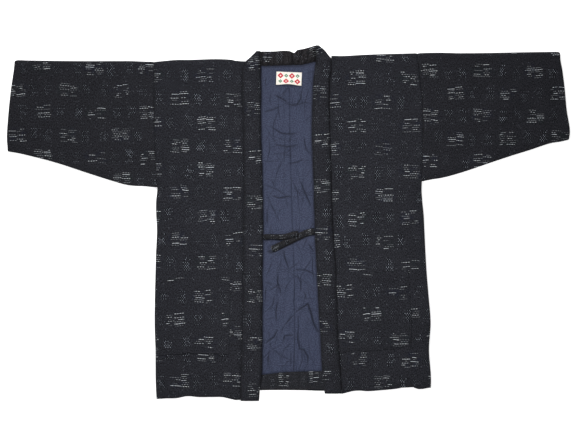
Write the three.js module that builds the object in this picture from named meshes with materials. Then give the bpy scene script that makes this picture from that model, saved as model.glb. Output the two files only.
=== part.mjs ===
import * as THREE from "three";

// A wadded hanten jacket laid on its back, in millimetres: X across, Y from the hem to the collar, Z up.
// Left is -X and right is +X.

// Thicknesses and clearances
const wall = 7; // outer cloth and wadding
const seamGap = 0.3;
const liningCloth = 1;
const pocketCloth = 1.5;
const labelCloth = 0.8;

// Heights of the layers, from the floor up
const liningBottom = wall + seamGap;
const liningTop = liningBottom + liningCloth;
const frontBottom = liningTop + seamGap;
const frontTop = frontBottom + wall;
const foldCentre = frontTop / 2; // height of the axis that a body or sleeve is folded round

// How a wadded edge rounds off
const rimStations = [0, 2.5, 6.5, 12]; // distances of the extra stations from a free edge
const rimWidth = 12;
const openRim = 1.3; // how much each face falls at a hem, a cuff or a butted seam
const sewnRim = 4; // how much the outer face falls where front and back are sewn edge to edge
const sewnMeet = 0.65; // how far the inner faces close there
const underarmBlend = 22; // length over which the open armhole turns into the sewn side
const puff = 0.7; // depth of the uneven wadding in the upper face

// The body
const neckHalf = 93; // from the middle to the point where the collar crosses the shoulder
const centreBack = 3; // X of the centre-back seam
const underarm = { left: 80, right: 94 };
const armholeSteps = 6;
const bodySides = [
  { y: -392, left: -288, right: 311 },
  { y: -340, left: -291, right: 311 },
  { y: -278, left: -291, right: 308 },
  { y: -219, left: -293, right: 311 },
  { y: -160, left: -292, right: 307 },
  { y: -67, left: -291, right: 301 },
  { y: 12, left: -290, right: 298 },
  { y: 74, left: -291, right: 291 },
  { y: 170, left: -295, right: 296 },
  { y: 255, left: -296, right: 296 },
  { y: 310, left: -296, right: 291 },
  { y: 375, left: -296, right: 283 },
];
const collarEdges = [
  { y: -392, seamLeft: -105.5, innerLeft: -65, seamRight: 119, innerRight: 80.5 },
  { y: -322, seamLeft: -104.5, innerLeft: -59, seamRight: 114.5, innerRight: 74.5 },
  { y: -223, seamLeft: -101, innerLeft: -58, seamRight: 109, innerRight: 69 },
  { y: -113, seamLeft: -100, innerLeft: -58, seamRight: 105.5, innerRight: 63 },
  { y: -3, seamLeft: -99, innerLeft: -56, seamRight: 98, innerRight: 58 },
  { y: 107, seamLeft: -98, innerLeft: -58, seamRight: 94.5, innerRight: 54.5 },
  { y: 217, seamLeft: -99, innerLeft: -61, seamRight: 91, innerRight: 51.5 },
  { y: 316, seamLeft: -102, innerLeft: -61, seamRight: 91, innerRight: 55 },
  { y: 342, seamLeft: -100, innerLeft: -61, seamRight: 96, innerRight: 58.5 },
  { y: 353, seamLeft: -93, innerLeft: -62, seamRight: 95, innerRight: 60 },
  { y: 392, seamLeft: -93, innerLeft: -62, seamRight: 93, innerRight: 60 },
];
const shoulderLine = [
  { x: -602, top: 357.5 },
  { x: -450, top: 358.5 },
  { x: -296, top: 355.5 },
  { x: -220, top: 360 },
  { x: -93, top: 362 },
  { x: 93, top: 366 },
  { x: 180, top: 369.5 },
  { x: 285, top: 373 },
  { x: 400, top: 374 },
  { x: 600, top: 377 },
];
const frontHem = [
  { x: -289, y: -382 },
  { x: -272, y: -384 },
  { x: -200, y: -378.5 },
  { x: -137, y: -382 },
  { x: -103, y: -389 },
  { x: 92, y: -373 },
  { x: 135, y: -368.5 },
  { x: 200, y: -364 },
  { x: 311, y: -361.5 },
];
const backHem = [
  { x: -289, y: -380 },
  { x: -200, y: -372 },
  { x: -60, y: -366 },
  { x: 80, y: -365.5 },
  { x: 311, y: -360.5 },
];
const neckline = [
  { x: -93, y: 353.5 },
  { x: -62, y: 347 },
  { x: -36, y: 347.5 },
  { x: -10, y: 348.5 },
  { x: centreBack, y: 349 },
  { x: 30, y: 349.5 },
  { x: 45, y: 353 },
  { x: 60, y: 357 },
  { x: 93, y: 358 },
];

// The sleeves
const cuffs = [
  { y: 150, left: -618, right: 606 },
  { y: 184, left: -618, right: 612 },
  { y: 206, left: -618, right: 618 },
  { y: 360, left: -602, right: 597 },
  { y: 378, left: -601, right: 595 },
];
const sleeveUnder = [
  { x: -618, y: 166 },
  { x: -577, y: 153 },
  { x: -507, y: 133 },
  { x: -437, y: 111 },
  { x: -366, y: 89 },
  { x: -345, y: 84 },
  { x: -291, y: 80 },
  { x: 291, y: 94 },
  { x: 320, y: 100 },
  { x: 355, y: 107 },
  { x: 390, y: 118 },
  { x: 461, y: 142 },
  { x: 531, y: 164 },
  { x: 566, y: 177 },
  { x: 612, y: 184 },
];

// The collar: a padded band, turned up behind the neck
const bandThick = 12;
const bandEnd = { left: -390, right: -369.5 };
const bandTop = { left: 377.5, right: 390 };
// Where the band goes over the shoulder and down to the floor
const bandDrop = { left: 354.5, right: 359, length: 13 };
const bandRounding = [
  { from: 352, left: 0, right: 0 },
  { from: 358, left: 5, right: 2 },
  { from: 365, left: 11, right: 7 },
  { from: 372, left: 17, right: 12 },
  { from: 376, left: 25, right: 14 },
  { from: 384, left: 27, right: 20 },
  { from: 391, left: 27, right: 28 },
];
const neckTop = [
  { x: -62, y: 377.5 },
  { x: -20, y: 378.5 },
  { x: 0, y: 379 },
  { x: 9, y: 376 },
  { x: 13, y: 375 },
  { x: 19, y: 380 },
  { x: 33, y: 383 },
  { x: 50, y: 388 },
  { x: 60, y: 390 },
];
const neckPuckers = [
  { x: -45, depth: 1.6, width: 4 },
  { x: -30, depth: 0.8, width: 5 },
  { x: -9, depth: 0.7, width: 6 },
  { x: 9, depth: 2, width: 4 },
  { x: 26, depth: 1.3, width: 5 },
  { x: 43, depth: 1, width: 5 },
];
const bandSection = [
  { across: 0, up: 0.5 },
  { across: 0.04, up: 0.76 },
  { across: 0.14, up: 0.93 },
  { across: 0.32, up: 1 },
  { across: 0.68, up: 1 },
  { across: 0.86, up: 0.93 },
  { across: 0.96, up: 0.76 },
  { across: 1, up: 0.5 },
  { across: 0.96, up: 0.16 },
  { across: 0.86, up: 0 },
  { across: 0.14, up: 0 },
  { across: 0.04, up: 0.16 },
];

// The lining and the facing inside the back hem
const liningReach = 12; // how far they run in under the collar band
const neckLevel = 348; // Y of the lining's upper edge
const facingTop = -327;
const facingHem = -364;
const facingCloth = 1.2;
const facingRim = 0.3;
const liningSeam = [
  { y: -330, x: 12 },
  { y: -223, x: 14 },
  { y: -113, x: 13 },
  { y: -3, x: 9 },
  { y: 217, x: 3.5 },
  { y: 360, x: 2 },
];
const liningFolds = [
  { x1: -29, y1: 283, x2: -2, y2: 268, rise: 1.6, width: 9 },
  { x1: -36, y1: 60, x2: 20, y2: 58, rise: 1.3, width: 9 },
  { x1: -10, y1: -58, x2: 2, y2: -100, rise: 1.6, width: 8 },
  { x1: 16, y1: -102, x2: 60, y2: -116, rise: 1.5, width: 9 },
  { x1: 16, y1: -196, x2: 44, y2: -178, rise: 1.9, width: 9 },
  { x1: 44, y1: -178, x2: 68, y2: -245, rise: 1.9, width: 9 },
  { x1: -50, y1: -266, x2: -22, y2: -232, rise: 1.6, width: 9 },
  { x1: 22, y1: -240, x2: 44, y2: -312, rise: 1.7, width: 8 },
];

// Pockets, ties and label
const pockets = {
  left: { outer: -288, inner: -131, foot: -289, mouth: -118 },
  right: { outer: 269, inner: 107, foot: -278, mouth: -107 },
};
const tieWidth = 15;
const tieThick = 2.4;
const tieTip = 0.8; // how much the free end narrows
const tieSection = [
  { across: -0.5, up: -0.2 },
  { across: -0.44, up: -0.5 },
  { across: 0.44, up: -0.5 },
  { across: 0.5, up: -0.2 },
  { across: 0.5, up: 0.2 },
  { across: 0.44, up: 0.5 },
  { across: -0.44, up: 0.5 },
  { across: -0.5, up: 0.2 },
];
const tieLeftRoute = [
  { x: -55.4, y: -29.7, z: 15.5 },
  { x: -50, y: -29.5, z: 14.4 },
  { x: -44, y: -29.3, z: 13.6 },
  { x: -38, y: -29.2, z: 13.2 },
  { x: -32, y: -29.4, z: 13.1 },
  { x: -26, y: -29.8, z: 13.1 },
  { x: -20, y: -30, z: 13.1 },
  { x: -14, y: -29.8, z: 13.1 },
  { x: -8, y: -29, z: 13.1 },
  { x: -2, y: -27.6, z: 13.1 },
  { x: 4, y: -26, z: 13.1 },
  { x: 10, y: -24.3, z: 13.1 },
  { x: 16, y: -22.6, z: 13.1 },
  { x: 22, y: -21, z: 13.1 },
];
const tieRightRoute = [
  { x: 57, y: -17.5, z: 14.6 },
  { x: 51, y: -18, z: 12.8 },
  { x: 44, y: -19.6, z: 11.2 },
  { x: 37, y: -22.2, z: 10.3 },
  { x: 30, y: -25.2, z: 10.2 },
  { x: 23, y: -28.4, z: 10.2 },
  { x: 16, y: -31.8, z: 10.2 },
  { x: 9, y: -35.2, z: 10.2 },
  { x: 2, y: -38.6, z: 10.2 },
  { x: -5, y: -42, z: 10.2 },
  { x: -12, y: -45.4, z: 10.2 },
  { x: -19, y: -48.8, z: 10.2 },
  { x: -26, y: -52, z: 10.2 },
  { x: -32, y: -54.8, z: 10.2 },
  { x: -37, y: -57, z: 10.2 },
];
const label = { x: 1, y: 319, width: 56, height: 29, slant: -0.04 };

const cloths = {
  outer: { color: 0x26272b, roughness: 0.9, metalness: 0 },
  band: { color: 0x222327, roughness: 0.9, metalness: 0 },
  lining: { color: 0x3d4360, roughness: 0.8, metalness: 0 },
  label: { color: 0xe6dccd, roughness: 0.7, metalness: 0 },
};

const signOf = { left: -1, right: 1 };
const mix = THREE.MathUtils.lerp;
const ease = THREE.MathUtils.smoothstep;

// The value in one column of a table at a place along its rising key column, on a smooth curve.
function along(table, key, column, at) {
  const last = table.length - 1;
  const place = THREE.MathUtils.clamp(at, table[0][key], table[last][key]);
  let i = 0;
  while (i < last - 1 && place > table[i + 1][key]) i++;
  const slope = (row) => {
    const before = table[Math.max(row - 1, 0)];
    const after = table[Math.min(row + 1, last)];
    return (after[column] - before[column]) / (after[key] - before[key]);
  };
  const span = table[i + 1][key] - table[i][key];
  const t = (place - table[i][key]) / span;
  const rise = table[i + 1][column] - table[i][column];
  const start = slope(i) * span - rise;
  const end = rise - slope(i + 1) * span;
  return mix(table[i][column], table[i + 1][column], t) + t * (1 - t) * (start * (1 - t) + end * t);
}

// The neckline runs straight between its rows, where the back has its columns.
function necklineAt(x) {
  const place = THREE.MathUtils.clamp(x, -neckHalf, neckHalf);
  const i = Math.max(1, neckline.findIndex((row) => row.x >= place));
  const t = (place - neckline[i - 1].x) / (neckline[i].x - neckline[i - 1].x);
  return mix(neckline[i - 1].y, neckline[i].y, t);
}

// How far the rounding of a free edge has risen at a distance from it, 0 to 1.
function rounding(distance) {
  const t = THREE.MathUtils.clamp(distance / rimWidth, 0, 1);
  return Math.sqrt(1 - (1 - t) ** 2);
}

// Shares of a length, closer together at each free edge.
function stations(length, steps, extra = [], freeEnd = true) {
  const rim = rimStations.map((distance) => distance / length);
  const start = rim.at(-1);
  const end = freeEnd ? 1 - start : 1;
  const middle = Array.from({ length: steps - 1 }, (_, i) => mix(start, end, (i + 1) / steps));
  const far = freeEnd ? rim.map((share) => 1 - share) : [1];
  const clearOf = (share) => extra.every((other) => Math.abs(other - share) * length > 5);
  return [...rim, ...far, ...extra, ...middle.filter(clearOf)].sort((a, b) => a - b);
}

function meshOf(name, positions, triangles, cloth) {
  const geometry = new THREE.BufferGeometry();
  geometry.setAttribute("position", new THREE.Float32BufferAttribute(positions.flat(), 3));
  geometry.setIndex(triangles.flat());
  geometry.computeVertexNormals();
  const mesh = new THREE.Mesh(geometry, new THREE.MeshStandardMaterial(cloths[cloth]));
  mesh.name = name;
  return mesh;
}

// A closed solid from rows of points that each have an outer and an inner place. A missing point is a hole.
function clothOf(name, rows, cloth, reversed) {
  const positions = [];
  const index = rows.map((row) => row.map((point) => point && positions.push(point.out, point.in) - 2));
  const triangles = [];
  const edges = new Set();
  const quads = [];
  for (let r = 0; r < index.length - 1; r++) {
    for (let c = 0; c < index[r].length - 1; c++) {
      const corners = [index[r][c], index[r][c + 1], index[r + 1][c + 1], index[r + 1][c]];
      if (corners.every((corner) => corner !== undefined)) quads.push(reversed ? corners.reverse() : corners);
    }
  }
  for (const [a, b, c, d] of quads) {
    triangles.push([a, b, c], [a, c, d], [a + 1, c + 1, b + 1], [a + 1, d + 1, c + 1]);
    for (const edge of [[a, b], [b, c], [c, d], [d, a]]) edges.add(edge.join());
  }
  for (const [a, b] of [...edges].map((edge) => edge.split(",").map(Number))) {
    if (!edges.has([b, a].join())) triangles.push([b, a, a + 1], [b, a + 1, b + 1]);
  }
  return meshOf(name, positions, triangles, cloth);
}

// A closed solid through rings of points, with a cap at each end.
function loftOf(name, rings, cloth) {
  const sides = rings[0].length;
  const positions = rings.flat();
  const triangles = [];
  for (let r = 0; r < rings.length - 1; r++) {
    for (let s = 0; s < sides; s++) {
      const a = r * sides + s;
      const b = r * sides + ((s + 1) % sides);
      triangles.push([a, b, b + sides], [a, b + sides, a + sides]);
    }
  }
  const end = (rings.length - 1) * sides;
  for (let s = 1; s < sides - 1; s++) triangles.push([0, s + 1, s], [end, end + s, end + s + 1]);
  return meshOf(name, positions, triangles, cloth);
}

// The uneven wadding, as a rise of the upper face.
function wadding(x, y) {
  const broad = Math.sin(x / 37 + y / 61) * Math.sin(y / 43 - x / 83);
  const fine = Math.sin(x / 19 - y / 29) * Math.sin(y / 23 + x / 41);
  return puff * (0.7 * broad + 0.3 * fine - 0.5);
}

const sideOf = (side, y) => along(bodySides, "y", side, y);
const topOf = (x) => along(shoulderLine, "x", "top", x);
const collarSeam = (side, y) => along(collarEdges, "y", side === "left" ? "seamLeft" : "seamRight", y);
const collarInner = (side, y) => along(collarEdges, "y", side === "left" ? "innerLeft" : "innerRight", y);

// The cut of one body cloth.
function bodyCut(side) {
  const sign = signOf[side];
  return {
    side,
    near: sign * 296,
    far: sign * neckHalf,
    outer: (y) => sideOf(side, y),
    inner: (y) => collarSeam(side, y),
    backInner: () => sign * neckHalf,
    foot: (x) => along(frontHem, "x", "y", x),
    backFoot: (x) => along(backHem, "x", "y", x),
    outerSewn: (y) => 1 - ease(y, underarm[side] - underarmBlend, underarm[side]),
    footSewn: 0,
    armholeAt: sign * 296,
    steps: { across: 5, front: 10, back: 6 },
    pocket: pockets[side],
  };
}

// The cut of one sleeve. Its inner edge butts against the body.
function sleeveCut(side) {
  const sign = signOf[side];
  const armhole = (y) => sideOf(side, y) + sign * seamGap;
  return {
    side,
    near: sign * 612,
    far: sign * 296,
    outer: (y) => along(cuffs, "y", side, y),
    inner: armhole,
    backInner: armhole,
    foot: (x) => along(sleeveUnder, "x", "y", x),
    backFoot: (x) => along(sleeveUnder, "x", "y", x),
    outerSewn: () => 0,
    footSewn: 1,
    armholeAt: sign * 296,
    steps: { across: 7, front: 0, back: 0 },
  };
}

// How far each face of a wall gives way near its edges: the outer one falls, and the inner one draws back.
function edgeGive(edges) {
  const fall = edges.map(({ distance, sewn }) => mix(openRim, sewnRim, sewn) * (1 - rounding(distance)));
  const draw = edges.map(({ distance, sewn }) => openRim * (1 - sewn) * (1 - rounding(distance)));
  const meet = edges.map(({ distance, sewn }) => sewnMeet * sewn * (1 - rounding(distance)));
  return { fall: Math.max(...fall), draw: Math.max(...draw) - Math.max(...meet) };
}

// A point of the front wall or, folded under, of the back wall.
function wallPoint(x, y, edges, isBack) {
  const { fall, draw } = edgeGive(edges);
  const out = frontTop - fall + (isBack ? 0 : wadding(x, y) * (1 - fall / sewnRim));
  const inner = frontBottom + draw;
  const backInner = wall - draw;
  return isBack ? { out: [x, y, fall], in: [x, y, backInner] } : { out: [x, y, out], in: [x, y, inner] };
}

// Shares of the way from a foot to the fold. Along the armhole they are the same on the body and the sleeve.
function rowShares(cut, foot, lowerSteps, extra) {
  const fold = topOf(cut.armholeAt) - foldCentre;
  const low = underarm[cut.side];
  const armhole = Array.from({ length: armholeSteps + 1 }, (_, i) => mix(low, fold, i / armholeSteps));
  const lower = Array.from({ length: lowerSteps }, (_, i) => mix(foot, low, (i + 1) / (lowerSteps + 1)));
  const shares = [...lower, ...armhole].map((y) => (y - foot) / (fold - foot));
  const rim = rimStations.map((distance) => distance / (fold - foot));
  const spare = 0.012;
  const clearOf = (share) => [...rim, ...extra].every((other) => Math.abs(other - share) > spare);
  return [...rim, ...extra, ...shares.filter(clearOf)].sort((a, b) => a - b);
}

// A cloth folded along its top: rows up the front, over the fold and down the back.
function foldedRows(cut, backColumns = []) {
  const width = Math.abs(cut.near - cut.far);
  const pocket = cut.pocket;
  const pocketShares = pocket ? [pocket.outer, pocket.inner].map((x) => {
    const outer = cut.outer(pocket.foot);
    return (x - outer) / (cut.inner(pocket.foot) - outer);
  }) : [];
  const inMiddle = pocketShares.filter((share) => share * width > 5 && (1 - share) * width > 5);
  const columns = stations(width, cut.steps.across, inMiddle);
  const nominal = (share) => mix(cut.near, cut.far, share);
  const foldAt = (x) => topOf(x) - foldCentre;
  const middle = nominal(0.5);
  const shareOfY = (y) => (y - cut.foot(middle)) / (foldAt(middle) - cut.foot(middle));
  const pocketRows = pocket ? [shareOfY(pocket.foot), shareOfY(pocket.mouth)] : [];
  const frontRows = rowShares(cut, cut.foot(cut.armholeAt), cut.steps.front, pocketRows);
  const backRows = rowShares(cut, cut.backFoot(cut.armholeAt), cut.steps.back, []).reverse();
  const rows = [];

  const edgesAt = (x, y, foot, inner) => [
    { distance: Math.abs(x - cut.outer(y)), sewn: cut.outerSewn(y) },
    { distance: Math.abs(inner - x), sewn: 0 },
    { distance: y - foot, sewn: cut.footSewn },
  ];
  for (const share of frontRows) {
    rows.push(columns.map((column) => {
      const foot = cut.foot(nominal(column));
      const y = mix(foot, foldAt(nominal(column)), share);
      const x = mix(cut.outer(y), cut.inner(y), column);
      return wallPoint(x, y, edgesAt(x, y, foot, cut.inner(y)), false);
    }));
  }
  const foldSteps = 5;
  for (let step = 1; step < foldSteps; step++) {
    const angle = Math.PI * (0.5 - step / foldSteps);
    rows.push(columns.map((column) => {
      const yFold = foldAt(nominal(column));
      const x = mix(cut.outer(yFold), cut.inner(yFold), column);
      const { fall, draw } = edgeGive(edgesAt(x, yFold, cut.foot(x), cut.inner(yFold)));
      const rise = wadding(x, yFold) * (1 - fall / sewnRim) * Math.max(0, Math.sin(angle));
      const place = (radius) => [x, yFold + radius * Math.cos(angle), foldCentre + radius * Math.sin(angle)];
      return { out: place(foldCentre - fall + rise), in: place(frontBottom - foldCentre + draw) };
    }));
  }
  for (const share of backRows) {
    const row = columns.map((column) => {
      const foot = cut.backFoot(nominal(column));
      const y = mix(foot, foldAt(nominal(column)), share);
      const x = mix(cut.outer(y), cut.backInner(y), column);
      const inner = backColumns.length ? centreBack : cut.backInner(y);
      return wallPoint(x, y, edgesAt(x, y, foot, inner), true);
    });
    for (const x of backColumns) {
      const foot = along(backHem, "x", "y", x);
      const top = necklineAt(x);
      const y = mix(foot, top, share);
      const edges = [
        { distance: Math.abs(x - backColumns.at(-1)), sewn: 0 },
        { distance: y - foot, sewn: 0 },
        { distance: top - y + Math.max(0, Math.abs(x) - 75), sewn: 0 },
      ];
      row.push(wallPoint(x, y, edges, true));
    }
    rows.push(row);
  }
  const seamPlaces = frontRows.map((share) => mix(cut.foot(cut.far), foldAt(cut.far), share));
  return { rows, columns, frontRows, pocketShares, pocketRows, seamPlaces };
}

function body(side) {
  const cut = bodyCut(side);
  const sign = signOf[side];
  const seam = centreBack + (sign * seamGap) / 2;
  const inSide = neckline.map((row) => row.x * sign).filter((x) => x > rimWidth && x < neckHalf);
  const nearSeam = rimStations.map((distance) => seam + sign * distance);
  const backColumns = [...inSide.map((x) => x * sign), ...nearSeam].sort((a, b) => sign * (b - a));
  const folded = foldedRows(cut, backColumns);
  return { mesh: clothOf("body_" + side, folded.rows, "outer", side === "right"), folded };
}

function sleeve(side) {
  return clothOf("sleeve_" + side, foldedRows(sleeveCut(side)).rows, "outer", side === "right");
}

// A pocket is made from the points of the front that it lies on, moved up.
function pocket(side, folded) {
  const nearest = (list, value) => list.reduce((best, item, i) =>
    Math.abs(item - value) < Math.abs(list[best] - value) ? i : best, 0);
  const [c1, c2] = folded.pocketShares.map((share) => nearest(folded.columns, share)).sort((a, b) => a - b);
  const [r1, r2] = folded.pocketRows.map((share) => nearest(folded.frontRows, share));
  const raise = ([x, y, z], height) => [x, y, z + height];
  const rows = folded.rows.slice(r1, r2 + 1).map((row) => row.slice(c1, c2 + 1).map((point) => ({
    out: raise(point.out, seamGap + pocketCloth),
    in: raise(point.out, seamGap),
  })));
  return clothOf("pocket_" + side, rows, "outer", side === "right");
}

// A ring of the band's rounded section between two places across it.
function sectionRing(from, to, bottom, thick, place) {
  return bandSection.map(({ across, up }) => place(mix(from, to, across), bottom + thick * up));
}

// The band down one front. Its stations are those of the front that it is sewn to.
function collarBand(side, seamPlaces) {
  const sign = signOf[side];
  const low = bandEnd[side];
  const high = bandTop[side];
  const overShoulder = [0.12, 0.24, 0.36, 0.48, 0.6, 0.72, 0.84, 0.94, 1];
  const upper = overShoulder.map((share) => mix(seamPlaces.at(-1), high, share));
  const places = [low, low + 2, ...seamPlaces.slice(2), ...upper];
  const rings = places.map((y) => {
    const round = along(bandRounding, "from", side, y);
    const seam = collarSeam(side, y) - sign * (seamGap + round);
    const inner = collarInner(side, y);
    const tip = 1 - rounding(Math.min(y - low, high - y) * 1.5);
    const drop = ease(y, bandDrop[side], bandDrop[side] + bandDrop.length);
    const thick = bandThick * (1 - 0.35 * tip);
    const bottom = mix(frontBottom, 0, drop) + bandThick * 0.17 * tip * (1 - drop);
    const [from, to] = side === "left" ? [seam, inner] : [inner, seam];
    return sectionRing(from, to, bottom, thick, (x, z) => [x, y, z]);
  });
  return loftOf("collar_" + side, rings, "band");
}

// The band behind the neck stands up from the neckline and lies flat, with its puckers.
function collarNeck() {
  const left = collarInner("left", 380) + seamGap;
  const right = collarInner("right", 380) - seamGap;
  const steps = 36;
  const rings = Array.from({ length: steps + 1 }, (_, i) => {
    const x = mix(left, right, i / steps);
    const low = necklineAt(x) + seamGap;
    const high = along(neckTop, "x", "y", x);
    const depths = neckPuckers.map((fold) => fold.depth * Math.exp(-(((x - fold.x) / fold.width) ** 2)));
    const dip = depths.reduce((sum, depth) => sum + depth, 0);
    const tip = 1 - rounding(Math.min(x - left, right - x) * 2);
    return sectionRing(low, high, 0, bandThick - dip - 2 * tip, (y, z) => [x, y, z]).reverse();
  });
  return loftOf("collar_neck", rings, "band");
}

// The rise of the lining over its main folds.
function foldRise(x, y) {
  return liningFolds.reduce((sum, fold) => {
    const lengthSquared = (fold.x2 - fold.x1) ** 2 + (fold.y2 - fold.y1) ** 2;
    const t = ((x - fold.x1) * (fold.x2 - fold.x1) + (y - fold.y1) * (fold.y2 - fold.y1)) / lengthSquared;
    const near = THREE.MathUtils.clamp(t, 0, 1);
    const off = Math.hypot(x - mix(fold.x1, fold.x2, near), y - mix(fold.y1, fold.y2, near));
    return Math.max(sum, fold.rise * Math.exp(-((off / fold.width) ** 2)));
  }, 0);
}

function lining(side) {
  const sign = signOf[side];
  const rowCount = 38;
  const columnCount = 6;
  const pointAt = (share, across) => {
    const level = mix(facingTop + seamGap, neckLevel, share);
    const seam = along(liningSeam, "y", "x", level) + (sign * seamGap) / 2;
    const reach = liningReach * (1 - ease(level, neckLevel - 30, neckLevel - 2));
    const edge = collarInner(side, level) + sign * reach;
    const x = mix(seam, edge, across);
    const y = mix(facingTop + seamGap, necklineAt(x) - seamGap, share);
    const shown = ease(Math.abs(edge - x), liningReach, liningReach + 8);
    const rise = foldRise(x, y) * shown;
    return { out: [x, y, liningTop + rise], in: [x, y, liningBottom + rise] };
  };
  const shares = (count) => Array.from({ length: count + 1 }, (_, i) => i / count);
  const rows = shares(rowCount).map((share) => shares(columnCount).map((across) => pointAt(share, across)));
  return clothOf("lining_" + side, rows, "lining", side === "left");
}

function hemFacing() {
  const left = collarInner("left", facingTop) - liningReach;
  const right = collarInner("right", facingTop) + liningReach;
  const columns = 14;
  const levels = [facingHem, facingHem + 2, mix(facingHem, facingTop, 0.5), facingTop - 2, facingTop];
  const rows = levels.map((y) => Array.from({ length: columns + 1 }, (_, c) => {
    const x = mix(left, right, c / columns);
    const edge = y === facingHem || y === facingTop;
    const thick = edge ? facingCloth - facingRim : facingCloth;
    return { out: [x, y, liningBottom + thick], in: [x, y, liningBottom] };
  }));
  return clothOf("hem_facing", rows, "outer", false);
}

// A flat strap of bevelled section along its route, lying level.
function tie(side, route) {
  const path = new THREE.CatmullRomCurve3(route.map(({ x, y, z }) => new THREE.Vector3(x, y, z)));
  const steps = route.length + 4;
  const rings = Array.from({ length: steps + 1 }, (_, i) => {
    const centre = path.getPoint(i / steps);
    const tangent = path.getTangent(i / steps);
    const across = new THREE.Vector3(-tangent.y, tangent.x, 0).normalize();
    const up = new THREE.Vector3().crossVectors(tangent, across);
    const narrow = i === steps ? tieTip : 1;
    return tieSection.map((corner) => centre.clone()
      .addScaledVector(across, corner.across * tieWidth * narrow)
      .addScaledVector(up, corner.up * tieThick)
      .toArray());
  });
  return loftOf("tie_" + side, rings, "band");
}

function neckLabel() {
  const shape = new THREE.BoxGeometry(label.width, label.height, labelCloth, 4, 2, 1);
  const mesh = new THREE.Mesh(shape, new THREE.MeshStandardMaterial(cloths.label));
  mesh.name = "label";
  mesh.position.set(label.x, label.y, liningTop + seamGap + labelCloth / 2);
  mesh.rotation.z = label.slant;
  return mesh;
}

const jacket = new THREE.Group();
for (const side of ["left", "right"]) {
  const { mesh, folded } = body(side);
  jacket.add(mesh, sleeve(side), pocket(side, folded), collarBand(side, folded.seamPlaces), lining(side));
}
jacket.add(collarNeck(), hemFacing(), neckLabel());
jacket.add(tie("left", tieLeftRoute), tie("right", tieRightRoute));

export default jacket;
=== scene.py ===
import math

import bpy
import numpy as np
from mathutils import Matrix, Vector


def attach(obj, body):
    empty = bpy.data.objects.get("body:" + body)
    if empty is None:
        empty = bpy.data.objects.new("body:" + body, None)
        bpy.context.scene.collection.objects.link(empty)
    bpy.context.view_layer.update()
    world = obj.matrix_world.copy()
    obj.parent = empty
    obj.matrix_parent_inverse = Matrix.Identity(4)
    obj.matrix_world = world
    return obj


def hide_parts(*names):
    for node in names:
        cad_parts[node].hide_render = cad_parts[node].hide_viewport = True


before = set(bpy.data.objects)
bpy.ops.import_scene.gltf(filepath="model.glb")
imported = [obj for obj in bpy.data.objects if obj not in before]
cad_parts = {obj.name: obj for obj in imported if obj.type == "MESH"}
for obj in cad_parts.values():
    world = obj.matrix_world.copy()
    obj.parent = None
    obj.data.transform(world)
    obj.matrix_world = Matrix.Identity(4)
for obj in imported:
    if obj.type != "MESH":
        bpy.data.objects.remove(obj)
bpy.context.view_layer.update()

millimetre = 0.001
sides = {"left": -1, "right": 1}  # as seen from above, the neck at the top

# Thicknesses of the layers, in millimetres
layers = {
    "wall": 7.0,  # wadded cloth
    "gap": 0.3,
    "seam": 0.005,  # between two edges that are sewn together
    "lining": 1.0,
    "pocket": 1.5,
    "facing": 1.2,
}

# heights from the floor
liningBottom = layers["wall"] + layers["gap"]
liningTop = liningBottom + layers["lining"]
frontBottom = liningTop + layers["gap"]
frontTop = frontBottom + layers["wall"]
foldCentre = frontTop / 2


def along(table, key, column, at):
    # smooth value of one column at a place along the key column
    keys = np.array(table[key], float)
    values = np.array(table[column], float)
    last = len(keys) - 1
    place = np.clip(at, keys[0], keys[-1])
    i = np.clip(np.searchsorted(keys, place, side="left") - 1, 0, last - 1)
    before = np.maximum(np.arange(last + 1) - 1, 0)
    after = np.minimum(np.arange(last + 1) + 1, last)
    slopes = (values[after] - values[before]) / (keys[after] - keys[before])
    span = keys[i + 1] - keys[i]
    t = (place - keys[i]) / span
    rise = values[i + 1] - values[i]
    start = slopes[i] * span - rise
    end = rise - slopes[i + 1] * span
    return values[i] + rise * t + t * (1 - t) * (start * (1 - t) + end * t)


def mix(a, b, t):
    return a + (b - a) * t


def ease(value, low, high):
    t = np.clip((value - low) / (high - low), 0, 1)
    return t * t * (3 - 2 * t)


def softNoise(x, y, size, seed):
    # smooth random waves of about one size, mostly within -1 to 1
    picks = np.random.default_rng(seed)
    waves = 12
    total = np.zeros(np.broadcast(x, y).shape)
    for _ in range(waves):
        angle = picks.uniform(0, 2 * math.pi)
        length = size * picks.uniform(0.7, 1.6)
        phase = picks.uniform(0, 2 * math.pi)
        total += np.sin((x * math.cos(angle) + y * math.sin(angle)) * 2 * math.pi / length + phase)
    return total / math.sqrt(2 * waves)


def rounding(distance, width):
    t = np.clip(distance / width, 0, 1)
    return np.sqrt(1 - (1 - t) ** 2)


def lineDistance(x, y, line):
    # how far each place is from a line of straight stretches, on which side, and how far along
    xs, ys = line["x"], line["y"]
    best = np.full(np.shape(x), 1e9)
    side = np.ones(np.shape(x))
    place = np.zeros(np.shape(x))
    lengths = [math.hypot(xs[k + 1] - xs[k], ys[k + 1] - ys[k]) for k in range(len(xs) - 1)]
    done = 0.0
    for k, length in enumerate(lengths):
        dx, dy = (xs[k + 1] - xs[k]) / length, (ys[k + 1] - ys[k]) / length
        rx, ry = x - xs[k], y - ys[k]
        held = np.clip(rx * dx + ry * dy, 0, length)
        off = np.hypot(rx - held * dx, ry - held * dy)
        nearer = off < best
        best = np.where(nearer, off, best)
        side = np.where(nearer, np.sign(rx * dy - ry * dx + 1e-9), side)
        place = np.where(nearer, (done + held) / sum(lengths), place)
        done += length
    return best, side, place


def curveThrough(a, b, c, d, f):
    # a smooth curve from b to c, a share f of the way along, with a before them and d after
    bend = 2 * a - 5 * b + 4 * c - d
    return 0.5 * (2 * b + (c - a) * f + bend * f ** 2 + (3 * b - a - 3 * c + d) * f ** 3)


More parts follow.
